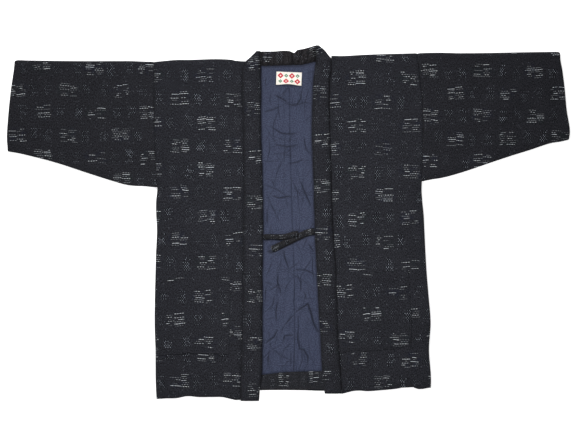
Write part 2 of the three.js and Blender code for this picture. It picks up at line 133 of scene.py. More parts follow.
def smoothRow(values, at):
    # values at places along a row of knots
    i = np.clip(np.floor(at).astype(int), 0, len(values) - 2)
    before, after = np.maximum(i - 1, 0), np.minimum(i + 2, len(values) - 1)
    return curveThrough(values[before], values[i], values[i + 1], values[after], at - i)


def bell(value, width):
    return np.exp(-((value / width) ** 2))


def endFade(place):
    return np.sin(math.pi * np.clip(place, 0.02, 0.98)) ** 0.6


def foldShape(x, y, fold):
    # a broad ridge with a shallow trough along one side, for the wadded cloth
    off, side, place = lineDistance(x, y, fold)
    width = fold["width"]
    ridge = bell(off, width) - 0.45 * bell(off - 1.6 * width, 0.9 * width) * (side > 0)
    return fold["rise"] * (0.2 + 0.8 * endFade(place)) * ridge


def creaseShape(x, y, crease):
    # a sharp valley with a soft swell on each side, for the thin lining, and how deep in it each place is,
    # which sets the painted shade in the valley
    off, side, place = lineDistance(x, y, crease)
    width, signed = crease["width"], off * side
    swell = 0.75 * bell(signed - 0.95 * width, 0.8 * width) + 0.45 * bell(signed + 1.1 * width, 1.0 * width)
    valley = bell(off, 0.32 * width)
    force = crease["rise"] * endFade(place)
    return force * (swell - 1.1 * valley), force * valley


def makeMesh(name, points, faces, uv, materials, slots=None):
    # a smooth piece from points in millimetres
    mesh = bpy.data.meshes.new(name)
    mesh.from_pydata((points * millimetre).tolist(), [], faces)
    for material in materials:
        mesh.materials.append(material)
    corners = np.zeros(len(mesh.loops), np.int32)
    mesh.loops.foreach_get("vertex_index", corners)
    layer = mesh.uv_layers.new(name="clothMap")
    layer.data.foreach_set("uv", uv[corners].ravel())
    if slots is not None:
        mesh.polygons.foreach_set("material_index", slots)
    mesh.polygons.foreach_set("use_smooth", np.ones(len(mesh.polygons), bool))
    mesh.validate()
    piece = bpy.data.objects.new(name, mesh)
    bpy.context.scene.collection.objects.link(piece)
    return piece


def rimmed(length, spacing, startRim=True, endRim=True):
    # places along a length, closer together at each free edge
    rim = np.array([0, 0.35, 1.0, 2.0, 3.3, 5.0, 7.2, 10.0])
    low = rim if startRim else np.array([0.0])
    high = length - rim[::-1] if endRim else np.array([length])
    count = max(2, int(round((high[0] - low[-1]) / spacing)))
    middle = np.linspace(low[-1], high[0], count + 1)[1:-1]
    return np.concatenate([low, middle, high]) / length


def shadeCavity(piece, shadeOfPoint):
    # marks how much painted shade each point gets for lying in a seam or a crease, where shade falls
    points = np.zeros(3 * len(piece.data.vertices))
    piece.data.vertices.foreach_get("co", points)
    x, y, z = (points.reshape(-1, 3) / millimetre).T
    marks = piece.data.attributes.new("paintedShade", "FLOAT", "POINT")
    marks.data.foreach_set("value", np.clip(shadeOfPoint(x, y, z), 0, 1))


def finishPiece(piece, slot, *nodes):
    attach(piece, "root")
    if nodes:
        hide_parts(*nodes)


# Where the woven dashes fall on each cloth, in millimetres: the centre of one block, and the spacing of
# the columns and rows. On a tie x runs along its length and y across it.
kasuri = {
    "bodyLeft": {"x": -181.5, "y": 324.5, "column": 119.0, "row": 51.3},
    "bodyRight": {"x": 151.0, "y": 320.0, "column": 116.5, "row": 51.6},
    "sleeveLeft": {"x": -540.0, "y": 342.0, "column": 115.5, "row": 49.0},
    "sleeveRight": {"x": 309.0, "y": 335.5, "column": 115.5, "row": 49.6},
    "pocketLeft": {"x": -188.0, "y": -161.5, "column": 119.0, "row": 51.5},
    "pocketRight": {"x": 122.0, "y": -150.0, "column": 121.0, "row": 51.5},
    "collarLeft": {"x": -74.0, "y": 250.0, "column": 119.0, "row": 51.3},
    "collarRight": {"x": 70.0, "y": 286.0, "column": 119.0, "row": 51.3},
    "collarNeck": {"x": 64.0, "y": 375.0, "column": 119.0, "row": 51.3},
    "facing": {"x": -11.0, "y": -343.0, "column": 66.0, "row": 51.3},
    "tieLeft": {"x": 30.0, "y": 0.0, "column": 100.0, "row": 36.0},
    "tieRight": {"x": 2.0, "y": 2.0, "column": 94.0, "row": 36.0},
}
patternCell = {"column": 0.119, "row": 0.0513}  # metres, the spacing that the material is drawn at


def clothMap(u, v, spot):
    # flat place on the cloth, in metres, shifted so that a motif's centre falls on the spot
    column = (u - spot["x"]) / spot["column"] + 0.5
    row = (v - spot["y"]) / spot["row"] + 0.5
    return np.stack([column * patternCell["column"], row * patternCell["row"]], axis=-1)


def sheetSolid(name, outside, inside, uv, present, reverse, materials, insideSlot=None):
    # a closed wall between two grids of points, with a rim along each free edge
    rows, columns = present.shape
    index = np.full((rows, columns), -1)
    index[present] = np.arange(present.sum())
    count = int(present.sum())
    whole = present[:-1, :-1] & present[1:, :-1] & present[:-1, 1:] & present[1:, 1:]
    a, b = index[:-1, :-1][whole], index[:-1, 1:][whole]
    c, d = index[1:, 1:][whole], index[1:, :-1][whole]
    top = np.stack([a, b, c, d], axis=1)
    if reverse:
        top = top[:, ::-1]
    under = top[:, ::-1] + count
    edges = np.concatenate([top[:, [k, (k + 1) % 4]] for k in range(4)])
    keys = edges[:, 0].astype(np.int64) * count + edges[:, 1]
    back = edges[:, 1].astype(np.int64) * count + edges[:, 0]
    free = edges[~np.isin(keys, back)]
    rim = np.stack([free[:, 1], free[:, 0], free[:, 0] + count, free[:, 1] + count], axis=1)
    points = np.concatenate([outside[present], inside[present]])
    faces = np.concatenate([top, under, rim])
    slots = np.zeros(len(faces), np.int32)
    if insideSlot is not None:
        edgeBand = 6  # cells that keep the outer cloth along each edge
        deep = whole.copy()
        deep[:edgeBand] = deep[-edgeBand:] = False
        deep[:, :edgeBand] = deep[:, -edgeBand:] = False
        slots[len(top):len(top) + len(under)] = np.where(deep[whole], insideSlot, 0)
    doubled = np.concatenate([uv[present], uv[present]])
    return makeMesh(name, points, faces.tolist(), doubled, materials, slots)


def loftSolid(name, rings, uv, materials):
    # a closed solid through rings of points, with a fan at each end
    count, around, _ = rings.shape
    points = np.concatenate([rings.reshape(-1, 3), [rings[0].mean(axis=0)], [rings[-1].mean(axis=0)]])
    flatUv = np.concatenate([uv.reshape(-1, 2), [uv[0].mean(axis=0)], [uv[-1].mean(axis=0)]])
    here = np.arange(around)
    after = (here + 1) % around
    firstHub, lastHub, lastRing = count * around, count * around + 1, (count - 1) * around
    a, b = ((np.arange(count - 1)[:, None] * around + k).ravel() for k in (here, after))
    faces = np.stack([a, b, b + around, a + around], axis=1).tolist()
    faces += np.stack([np.full(around, firstHub), after, here], axis=1).tolist()
    faces += np.stack([np.full(around, lastHub), lastRing + here, lastRing + after], axis=1).tolist()
    return makeMesh(name, points, faces, flatUv, materials)


# Shader helpers
class Wire:
    # one number in a shader tree, so that a run of Math nodes reads as plain arithmetic
    def __init__(self, tree, socket):
        self.tree = tree
        self.socket = socket

    def step(self, operation, other=None):
        node = self.tree.nodes.new("ShaderNodeMath")
        node.operation = operation
        self.tree.links.new(self.socket, node.inputs[0])
        if other is not None:
            feed(self.tree, other, node.inputs[1])
        return Wire(self.tree, node.outputs[0])

    def __add__(self, other):
        return self.step("ADD", other)

    def __sub__(self, other):
        return self.step("SUBTRACT", other)

    def __mul__(self, other):
        return self.step("MULTIPLY", other)

    def __truediv__(self, other):
        return self.step("DIVIDE", other)

    def floor(self):
        return self.step("FLOOR")

    def size(self):
        return self.step("ABSOLUTE")

    def power(self, amount):
        return self.step("POWER", amount)

    def less(self, other):
        return self.step("LESS_THAN", other)

    def flip(self):
        return self * -1.0 + 1.0

    def wave(self, length):
        # swings between 0 and 1
        return (self * (2 * math.pi / length)).step("SINE") * 0.5 + 0.5

    def between(self, low, high):
        # 0 at low, 1 at high, smooth in the middle
        node = self.tree.nodes.new("ShaderNodeMapRange")
        node.interpolation_type = "SMOOTHSTEP"
        self.tree.links.new(self.socket, node.inputs["Value"])
        node.inputs["From Min"].default_value = low
        node.inputs["From Max"].default_value = high
        return Wire(self.tree, node.outputs["Result"])


def feed(tree, value, target):
    if isinstance(value, Wire):
        tree.links.new(value.socket, target)
    elif isinstance(value, (int, float)):
        target.default_value = value
    else:
        tree.links.new(value, target)


def combine(tree, x, y, z=0.0):
    node = tree.nodes.new("ShaderNodeCombineXYZ")
    for target, value in zip(node.inputs, (x, y, z)):
        feed(tree, value, target)
    return node.outputs[0]


def split(tree, vector):
    node = tree.nodes.new("ShaderNodeSeparateXYZ")
    tree.links.new(vector, node.inputs[0])
    return [Wire(tree, output) for output in node.outputs]


def chance(tree, x, y, z):
    # three random numbers for each place
    node = tree.nodes.new("ShaderNodeTexWhiteNoise")
    node.noise_dimensions = "3D"
    tree.links.new(combine(tree, x, y, z), node.inputs["Vector"])
    parts = tree.nodes.new("ShaderNodeSeparateColor")
    tree.links.new(node.outputs["Color"], parts.inputs[0])
    return [Wire(tree, output) for output in parts.outputs]


def noise(tree, vector, scale, detail=2.0):
    node = tree.nodes.new("ShaderNodeTexNoise")
    tree.links.new(vector, node.inputs["Vector"])
    feed(tree, scale, node.inputs["Scale"])
    node.inputs["Detail"].default_value = detail
    return Wire(tree, node.outputs["Fac"])


def newGroup(name, inputs, outputs):
    group = bpy.data.node_groups.new(name, "ShaderNodeTree")
    for title, kind, value in inputs:
        socket = group.interface.new_socket(title, in_out="INPUT", socket_type=kind)
        if value is not None:
            socket.default_value = value
    for title in outputs:
        group.interface.new_socket(title, in_out="OUTPUT", socket_type="NodeSocketFloat")
    return group, group.nodes.new("NodeGroupInput").outputs, group.nodes.new("NodeGroupOutput").inputs


def giveOut(tree, result, **wires):
    for name, wire in wires.items():
        tree.links.new(wire.socket, result[name])
    return tree


# One block of the pattern, in metres
motif = {
    "halfWide": 0.0198,
    "halfHigh": 0.0155,
    "strayAcross": 0.005,  # how far blocks lie off their places
    "strayUp": 0.004,
    "splitStray": 0.007,  # how far the line between the two halves lies off the middle
    "slope": 0.22,
    "sway": 0.003,
    "pick": 0.0045,  # from one row of dashes to the next
    "line": (0.07, 0.16),  # half of a dash's thickness as a share of that, where it begins and ends to fade
    "endSoft": (-0.0004, 0.0008),
    "missing": (0.2, 0.25),  # share of the rows that are left out
    "turn": 0.618,  # spreads strong and faint rows evenly
    "brightness": 2.9,
    "bead": 0.0058,  # from one thick place along a dash to the next
    "dotPitch": 0.0049,  # from one dot of a row to the next
    "dotRow": 0.0033,  # from one row of dots to the next
    "dotAt": 0.042,  # how far out from its middle the clusters of dots lie
    "dotHalfWide": 0.0085,
    "dotHalfHigh": 0.0135,
    "dotStrayAcross": 0.012,
    "dotStrayUp": 0.01,
    "dotSize": (0.03, 0.12),
    "dotRowsMissing": (0.20, 0.26),
    "dotsMissing": (0.20, 0.30),
    "lone": 0.22,  # strength of the single dots that lie anywhere
    "runWide": 0.03,  # how far the dye has run round a block
    "runHigh": 0.02,
}


def kasuriGroup():
    # blocks of broken white dashes in a half-drop repeat, with clusters of faint dots between them
    inputs = [("Vector", "NodeSocketVector", None), ("Seed", "NodeSocketFloat", 0.0)]
    tree, given, result = newGroup("kasuriPattern", inputs, ["Dashes", "Dots", "Deep", "Haze", "Tint"])
    u, v, _ = split(tree, given["Vector"])
    seed = Wire(tree, given["Seed"])
    rowPlace = v / patternCell["row"]
    row = rowPlace.floor()
    columnPlace = u / patternCell["column"] + row.step("FLOORED_MODULO", 2.0) * 0.5
    column = columnPlace.floor()
    wobble = chance(tree, column, row, seed)
    mood = chance(tree, column, row, seed + 9.3)
    x = (columnPlace - column - 0.5) * patternCell["column"] + (wobble[0] - 0.5) * motif["strayAcross"]
    y = (rowPlace - row - 0.5) * patternCell["row"] + (wobble[1] - 0.5) * motif["strayUp"]
    sway = noise(tree, given["Vector"], 55.0, 1.0) - 0.5

    # each block is two halves, bound and dyed apart, so their rows don't meet
    splitAt = (wobble[2] - 0.5) * motif["splitStray"]
    half = x.step("GREATER_THAN", splitAt)
    bound = chance(tree, column + half * 0.37, row, seed + 3.1)
    outward = (x - splitAt).size()
    slope = (bound[2] - 0.5) * motif["slope"]
    level = (y + (x - splitAt) * slope + sway * motif["sway"]) / motif["pick"] + bound[0]
    pick = level.floor()
    offLine = (level - pick - 0.5).size()
    within = ((pick + 0.5 - bound[0]) * motif["pick"]).size().less(motif["halfHigh"])
    dash = chance(tree, column + half * 0.31, row, pick + seed * 17.0)
    look = chance(tree, pick + 41.3, column - half * 0.27, row + seed)
    far = (half * -2.0 + 1.0) * splitAt + motif["halfWide"]
    startAt = dash[0].power(3.0) * far * 0.6
    stopAt = far * (dash[1].power(1.6) * -0.5 + 1.06)
    inside = (outward - startAt).between(*motif["endSoft"]) * (stopAt - outward).between(*motif["endSoft"])
    line = offLine.between(*motif["line"]).flip()
    turnOf = (pick * motif["turn"] + bound[0] * 7.0 + mood[2]).step("FRACT")
    strength = (turnOf.power(2.8) * 0.88 + 0.12) * (bound[1] * 0.3 + 0.7) * (mood[0] * 0.25 + 0.75)
    present = look[1].between(*motif["missing"]) * within * inside
    beads = (u + pick * motif["bead"] * 0.5).wave(motif["bead"]).power(1.6)
    dotted = (beads * 1.5 - 1.0) * look[2].power(0.4) + 1.0
    fray = noise(tree, given["Vector"], 430.0, 1.0).between(0.28, 0.52) * 0.5 + 0.5
    bright = (strength * dotted * fray * motif["brightness"]).step("MINIMUM", 1.0)
    dashes = bright * line * present

    # two clusters of dots beside each block, in a checkerboard of single threads
    cluster = chance(tree, column + x.step("SIGN") * 0.23, row, seed + 5.7)
    ragged = (noise(tree, given["Vector"], 150.0, 1.0) - 0.5) * 1.4
    lean = (cluster[0] - 0.5) * motif["dotStrayAcross"]
    offPlace = (x.size() - lean - motif["dotAt"]).size() / motif["dotHalfWide"]
    offRow = (y + (cluster[2] - 0.5) * motif["dotStrayUp"]).size() / motif["dotHalfHigh"]
    patch = (offPlace.step("MAXIMUM", offRow) + ragged).between(0.75, 1.15).flip()
    down = v / motif["dotRow"]
    downWhole = down.floor()
    across = u / motif["dotPitch"] + downWhole.step("FLOORED_MODULO", 2.0) * 0.5
    acrossWhole = across.floor()
    dotRow = chance(tree, column, downWhole, seed + 2.2)
    dotPick = chance(tree, acrossWhole, downWhole, seed)
    aside = (across - acrossWhole - 0.5) * (motif["dotPitch"] / motif["dotRow"])
    reach = aside.power(2.0) + (down - downWhole - 0.5).power(2.0)
    dot = reach.between(*motif["dotSize"]).flip()
    kept = patch * dotRow[0].between(*motif["dotRowsMissing"]) * dotPick[0].between(*motif["dotsMissing"])
    kept = kept * (cluster[1].power(1.3) * 0.8 + 0.2)
    lone = dotPick[2].between(0.96, 0.98) * motif["lone"]
    dots = dot * (kept + lone).step("MINIMUM", 1.0) * (dotPick[1] * 0.7 + 0.3)

    # the ground is darker next to the white threads, and the dye has run a little round each block
    besideDots = (kept * 1.4).step("MINIMUM", 1.0)
    beside = (present * (strength * 2.0).step("MINIMUM", 1.0)).step("MAXIMUM", besideDots)
    spread = (x / motif["runWide"]).power(2.0) + (y / motif["runHigh"]).power(2.0)
    haze = spread.between(0.3, 1.3).flip() * noise(tree, given["Vector"], 60.0, 2.0).between(0.45, 0.7)
    return giveOut(tree, result, Dashes=dashes, Dots=dots, Deep=beside, Haze=haze, Tint=mood[1])


# The weave of every cloth, in metres where it is a length
weave = {
    "ribPitch": 0.0022,
    "pickPitch": 0.0009,
    "ribs": 0.36,  # heights
    "picks": 0.12,
    "slub": 0.6,
    "streak": 4.0,  # contrasts
    "speck": 5.4,
}


def ribGroup():
    # raised warp ribs with slubs, crossed by fine picks
    inputs = [
        ("Vector", "NodeSocketVector", None),
        ("Rib Pitch", "NodeSocketFloat", weave["ribPitch"]),
        ("Pick Pitch", "NodeSocketFloat", weave["pickPitch"]),
    ]
    tree, given, result = newGroup("ribbedWeave", inputs, ["Height", "Shade"])
    u, v, _ = split(tree, given["Vector"])
    turn = 2 * math.pi
    drift = noise(tree, combine(tree, u, v * 0.2), 90.0, 1.0) * 0.003
    ribs = ((u + drift) / Wire(tree, given["Rib Pitch"]) * turn).step("SINE")
    picks = (v / Wire(tree, given["Pick Pitch"]) * turn).step("SINE")
    slub = noise(tree, combine(tree, u, v * 0.12), 700.0)
    height = ribs * weave["ribs"] + picks * weave["picks"] + slub * weave["slub"] + 0.2
    streak = noise(tree, combine(tree, u, v * 0.45), 640.0, 1.0) - 0.5
    speck = noise(tree, given["Vector"], 860.0, 1.0) - 0.5
    shade = streak * weave["streak"] + speck * weave["speck"] + 0.5
    shade = shade.step("MAXIMUM", 0.0).step("MINIMUM", 1.0)
    return giveOut(tree, result, Height=height, Shade=shade)


def mottleGroup():
    # slow uneven fading, and a finer speckle
    inputs = [("Vector", "NodeSocketVector", None), ("Scale", "NodeSocketFloat", 14.0)]
    tree, given, result = newGroup("clothMottle", inputs, ["Fade", "Speckle"])
    fade = noise(tree, given["Vector"], Wire(tree, given["Scale"]), 3.0)
    return giveOut(tree, result, Fade=fade, Speckle=noise(tree, given["Vector"], 520.0))


def wearGroup():
    # worn patches, a fine grain and long crumples, for the plain cloths
    inputs = [("Vector", "NodeSocketVector", None)]
    tree, given, result = newGroup("plainWear", inputs, ["Worn", "Grain", "Crumple"])
    u, v, _ = split(tree, given["Vector"])
    worn = noise(tree, given["Vector"], 60.0, 1.0).between(0.35, 0.65)
    grain = noise(tree, given["Vector"], 430.0, 1.0).between(0.28, 0.72)
    crumple = noise(tree, combine(tree, u, v * 0.4), 130.0, 3.0)
    return giveOut(tree, result, Worn=worn, Grain=grain, Crumple=crumple)


groups = {"kasuri": kasuriGroup(), "ribs": ribGroup(), "mottle": mottleGroup(), "wear": wearGroup()}


def useGroup(tree, key, vector, **values):
    node = tree.nodes.new("ShaderNodeGroup")
    node.node_tree = groups[key]
    tree.links.new(vector, node.inputs["Vector"])
    for name, value in values.items():
        node.inputs[name.replace("_", " ")].default_value = value
    return {output.name: Wire(tree, output) for output in node.outputs}


def mixColour(tree, amount, first, second):
    node = tree.nodes.new("ShaderNodeMix")
    node.data_type = "RGBA"
    feed(tree, amount, node.inputs["Factor"])
    colours = [socket for socket in node.inputs if socket.type == "RGBA"]
    for target, value in zip(colours, (first, second)):
        if isinstance(value, (tuple, list)):
            target.default_value = (*value, 1.0)
        else:
            tree.links.new(value, target)
    return next(socket for socket in node.outputs if socket.type == "RGBA")


def clothBase(name):
    material = bpy.data.materials.new(name)
    material.use_nodes = True
    tree = material.node_tree
    where = tree.nodes.new("ShaderNodeUVMap")
    where.uv_map = "clothMap"
    return material, tree, tree.nodes["Principled BSDF"], where.outputs["UV"]


def setSurface(tree, shader, look, colour, uneven, height):
    # colour, gloss, sheen, a roughness that varies with the uneven value, and relief
    tree.links.new(colour, shader.inputs["Base Color"])
    feed(tree, uneven * look["roughVaries"] + look["rough"], shader.inputs["Roughness"])
    shader.inputs["Specular IOR Level"].default_value = look["gloss"]
    shader.inputs["Sheen Weight"].default_value = look["sheen"]
    shader.inputs["Sheen Roughness"].default_value = 0.5
    bump = tree.nodes.new("ShaderNodeBump")
    bump.inputs["Strength"].default_value = look["relief"]
    bump.inputs["Distance"].default_value = look["reliefDepth"]
    feed(tree, height, bump.inputs["Height"])
    tree.links.new(bump.outputs["Normal"], shader.inputs["Normal"])


def readPaintedShade(tree):
    # the painted shade of each place, for how deep in a crease or a seam it lies
    paintedShade = tree.nodes.new("ShaderNodeAttribute")
    paintedShade.attribute_name = "paintedShade"
    return Wire(tree, paintedShade.outputs["Fac"])


def kasuriCloth(name, look):
    material, tree, shader, where = clothBase(name)
    ribs = useGroup(tree, "ribs", where)
    mottle = useGroup(tree, "mottle", where)
    pattern = useGroup(tree, "kasuri", where, Seed=look["seed"])
    dark, light, deep = ([a * b for a, b in zip(look[key], look["tone"])]
                         for key in ("dark", "light", "deep"))
    amount = mottle["Fade"] * look["fade"] - 0.03 + ribs["Shade"] * look["weave"]
    ground = mixColour(tree, amount, dark, light)
    ground = mixColour(tree, pattern["Deep"] * look["beside"], ground, deep)
    hazy = mixColour(tree, pattern["Tint"].between(0.35, 0.65), look["navy"], look["teal"])
    ground = mixColour(tree, pattern["Haze"] * look["haze"], ground, hazy)
    pale = mixColour(tree, mottle["Speckle"].between(0.35, 0.6), look["dashCool"], look["dash"])
    inked = mixColour(tree, pattern["Dots"] * look["dotStrength"], ground, look["dot"])
    inked = mixColour(tree, pattern["Dashes"] * look["dashStrength"], inked, pale)
    # painted shade: darker towards the dark ground colour in seams and creases, where shade falls
    inked = mixColour(tree, readPaintedShade(tree) * look["paintedShade"], inked, look["dark"])
    setSurface(tree, shader, look, inked, mottle["Speckle"], ribs["Height"] + pattern["Dashes"] * 0.5)
    return material


def plainCloth(name, look):
    material, tree, shader, where = clothBase(name)
    mottle = useGroup(tree, "mottle", where, Scale=look["mottleScale"])
    wear = useGroup(tree, "wear", where)
    ribs = useGroup(tree, "ribs", where, Rib_Pitch=look["thread"], Pick_Pitch=look["thread"] * 1.1)
    colour = mixColour(tree, mottle["Fade"], look["dark"], look["light"])
    colour = mixColour(tree, mottle["Speckle"].between(0.3, 0.75) * 0.3, colour, look["faded"])
    colour = mixColour(tree, wear["Worn"] * look["drift"], colour, look["worn"])
    grain = mixColour(tree, wear["Grain"], look["dark"], look["faded"])
    colour = mixColour(tree, look["grainy"], colour, grain)
    # painted shade: darker towards the deep colour in seams and creases, where shade falls
    colour = mixColour(tree, readPaintedShade(tree) * look["paintedShade"], colour, look["deep"])
    height = ribs["Height"] * 0.2 + wear["Crumple"] * look["crumple"]
    setSurface(tree, shader, look, colour, mottle["Speckle"], height)
    return material


def labelCloth(name, look):
    # white ribbon with two rows of woven diamonds, large red and small green in turn
    material, tree, shader, where = clothBase(name)
    ribs = useGroup(tree, "ribs", where, Rib_Pitch=look["thread"], Pick_Pitch=look["thread"])
    u, v, _ = split(tree, where)
    lower = v.step("LESS_THAN", 0.0)
    place = u / look["pitch"]
    column = place.floor()
    offColumn = (place - column - 0.5).size() * look["pitch"]
    offCentre = offColumn + (v.size() - look["rowAt"]).size() * 1.1
    inRow = u.size().less(look["pitch"] * 2.0)
    isGreen = (column + lower).step("FLOORED_MODULO", 2.0)
    half = isGreen * (look["smallHalf"] - look["half"]) + look["half"]
    diamond = offCentre.less(half) * inRow
    heart = offCentre.less(half * 0.3)
    ground = mixColour(tree, ribs["Shade"], look["dark"], look["light"])
    woven = mixColour(tree, isGreen, look["red"], look["green"])
    colour = mixColour(tree, diamond, ground, woven)
    colour = mixColour(tree, heart * inRow, colour, look["light"])
    setSurface(tree, shader, look, colour, ribs["Height"], ribs["Height"] + diamond * 0.6)
    return material


looks = {
    "outer": {
        "dark": (0.0028, 0.0029, 0.0038), "light": (0.0343, 0.0356, 0.0446), "deep": (0.0015, 0.0017, 0.0026),
        "navy": (0.0080, 0.0110, 0.0260), "teal": (0.0120, 0.0200, 0.0200), "tone": (1, 1, 1),
        "dash": (0.85, 0.88, 0.92), "dashCool": (0.32, 0.37, 0.43), "dot": (0.53, 0.58, 0.68),
        "dashStrength": 1.0, "dotStrength": 0.82, "fade": 0.24, "weave": 0.9, "beside": 0.95, "haze": 0.35,
        # the first entry below is how strong the painted shade in seams and creases is
        "paintedShade": 0.6, "gloss": 0.1, "sheen": 0.02, "rough": 0.84, "roughVaries": 0.12,
        "relief": 0.55, "reliefDepth": 0.0006,
    },
    "lining": {
        "dark": (0.020, 0.025, 0.049), "light": (0.034, 0.048, 0.085), "faded": (0.061, 0.074, 0.131),
        # deep is the colour of the painted shade in the creases and seams, and the entry after it how strong
        # that shade is
        "deep": (0.008, 0.010, 0.019), "worn": (0.043, 0.041, 0.082), "paintedShade": 0.7, "drift": 0.6,
        "grainy": 0.85, "mottleScale": 26.0, "thread": 0.0007, "crumple": 1.6, "gloss": 0.2, "sheen": 0.08,
        "rough": 0.62, "roughVaries": 0.1, "relief": 0.6, "reliefDepth": 0.001,
    },
    "thread": {
        "dark": (0.012, 0.013, 0.018), "light": (0.020, 0.021, 0.028), "faded": (0.030, 0.030, 0.036),
        "deep": (0, 0, 0), "worn": (0, 0, 0), "paintedShade": 0.0, "drift": 0.0, "grainy": 0.3,
        "mottleScale": 60.0, "thread": 0.0004, "crumple": 0.2, "gloss": 0.2, "sheen": 0.05,
        "rough": 0.6, "roughVaries": 0.1, "relief": 0.6, "reliefDepth": 0.001,
    },
    "label": {
        "dark": (0.90, 0.83, 0.75), "light": (0.98, 0.94, 0.87), "red": (0.62, 0.030, 0.045),
        "green": (0.11, 0.24, 0.13), "pitch": 0.0125, "half": 0.0070, "smallHalf": 0.0046, "rowAt": 0.0062,
        "thread": 0.0005, "gloss": 0.3, "sheen": 0.1, "rough": 0.5, "roughVaries": 0.1,
        "relief": 0.3, "reliefDepth": 0.0002,
    },
}

# each cut of the outer cloth: the seed of its pattern and a tone that scales its colours. The ties and the
# piece behind the neck are browner; the sleeves' darker tones are painted shade for the light falling off
# towards their ends
cloths = {
    "bodyLeft": {"seed": 0.0},
    "bodyRight": {"seed": 1.0, "tone": (1.04, 1.04, 1.04)},
    "sleeveLeft": {"seed": 2.0, "tone": (0.97, 0.96, 0.94)},
    "sleeveRight": {"seed": 3.0, "tone": (0.95, 0.94, 0.93)},
    "pockets": {"seed": 4.0},
    "collar": {"seed": 5.0},
    "neck": {"seed": 7.0, "tone": (1.28, 1.14, 1.0)},
    "ties": {"seed": 8.0, "tone": (1.12, 1.06, 0.95), "dashStrength": 0.7, "dotStrength": 0.6},
    "facing": {"seed": 11.0, "tone": (1.05, 1.05, 1.0)},
}
outerCloth = {key: kasuriCloth(key + "Kasuri", {**looks["outer"], **look}) for key, look in cloths.items()}
liningCloth = plainCloth("slateLining", looks["lining"])
darkThread = plainCloth("darkThread", looks["thread"])
labelRibbon = labelCloth("labelRibbon", looks["label"])
print("materials done")


# The wadded cloth, in millimetres
wadding = {
    "bumps": 1.0,  # depth of the uneven wadding
    "fineSize": 42,
    "puckers": 0.55,  # depth of the small gathers beside a seam
    "puckerSize": 17,
    "puckerReach": 13,
    "edgeShare": 0.35,  # how much of all these is left at an edge
    "foldSteps": 15,
}

# how a wall's faces give way near an edge of each kind: outer fall, inner draw, width of the rounding
edgeKinds = {
    "hem": {"fall": 3.1, "draw": 2.5, "width": 9.0},
    "butt": {"fall": 1.5, "draw": 1.3, "width": 7.0},
    "band": {"fall": 2.6, "draw": 1.3, "width": 13.0},
    "sewn": {"fall": 5.2, "draw": -0.65, "width": 15.0},
}


def edgeGive(edges):
    # how far the outer and the inner face give way at each place
    fall, draw, meet = 0.0, 0.0, 0.0
    for distance, kind, share in edges:
        shape = edgeKinds[kind]
        give = 1 - rounding(distance, shape["width"])
        fall = np.maximum(fall, shape["fall"] * share * give)
        draw = np.maximum(draw, max(shape["draw"], 0) * share * give)
        meet = np.maximum(meet, max(-shape["draw"], 0) * share * give)
    return fall, draw - meet


def seamPuckers(x, y, edges, seed):
    # small gathers that run out from each seam
    total = 0.0
    for number, (distance, kind, share) in enumerate(edges):
        if kind == "hem":
            continue
        place = softNoise(x * 0.25 + y, y * 0.2, wadding["puckerSize"], seed + number)
        total = total + share * place * np.exp(-np.abs(distance) / wadding["puckerReach"])
    return wadding["puckers"] * total


def wallFace(x, y, edges, cloth, side):
    # height of the upper face: bumps of the wadding, soft folds and gathers, all calmer towards the edges
    fall, _ = edgeGive(edges)
    seed = cloth["seed"][side]
    broad = softNoise(x, y, cloth["bumpSize"], seed)
    fine = softNoise(x, y, wadding["fineSize"], seed + 1)
    rise = wadding["bumps"] * (broad * 0.9 + fine * 0.35 - 0.35)
    for fold in cloth["folds"]:
        rise = rise + foldShape(x, y, fold)
    rise = rise + seamPuckers(x, y, edges, seed + 2)
    calm = np.clip(1 - fall / edgeKinds["sewn"]["fall"], 0, 1)
    return frontTop - fall + rise * mix(wadding["edgeShare"], 1, calm)


def wallPoints(x, y, edges, face, isBack):
    fall, draw = edgeGive(edges)
    if isBack:
        outside = np.stack([x, y, fall * np.ones_like(x)], axis=-1)
        inside = np.stack([x, y, layers["wall"] - draw * np.ones_like(x)], axis=-1)
    else:
        outside = np.stack([x, y, face], axis=-1)
        inside = np.stack([x, y, frontBottom + draw * np.ones_like(x)], axis=-1)
    return outside, inside


def addPanel(grids, cut, foldLine, backRows, spot):
    # the back cloth beyond the front's edge, as far as the centre-back seam
    seamAt, toX = cut["panel"]
    across = mix(seamAt, toX, rimmed(abs(toX - seamAt), cut["spacing"], True, False)[::-1][1:])
    foot = along(body["backHem"], "x", "y", across)[None, :]
    y = mix(foot, necklineAt(across)[None, :], backRows)
    x = np.broadcast_to(across, y.shape)
    outside, inside = wallPoints(x, y, cut["edges"](x, y, True), None, True)
    uv = clothMap(x, 2 * foldLine[-1] + foldCentre * math.pi - y, spot)
    blank = len(grids[0]) - len(backRows)
    wider = []
    for grid, panel in zip(grids, (outside, inside, uv, np.ones(y.shape, bool))):
        empty = np.zeros((blank, *panel.shape[1:]), panel.dtype)
        wider.append(np.concatenate([grid, np.concatenate([empty, panel])], axis=1))
    return wider


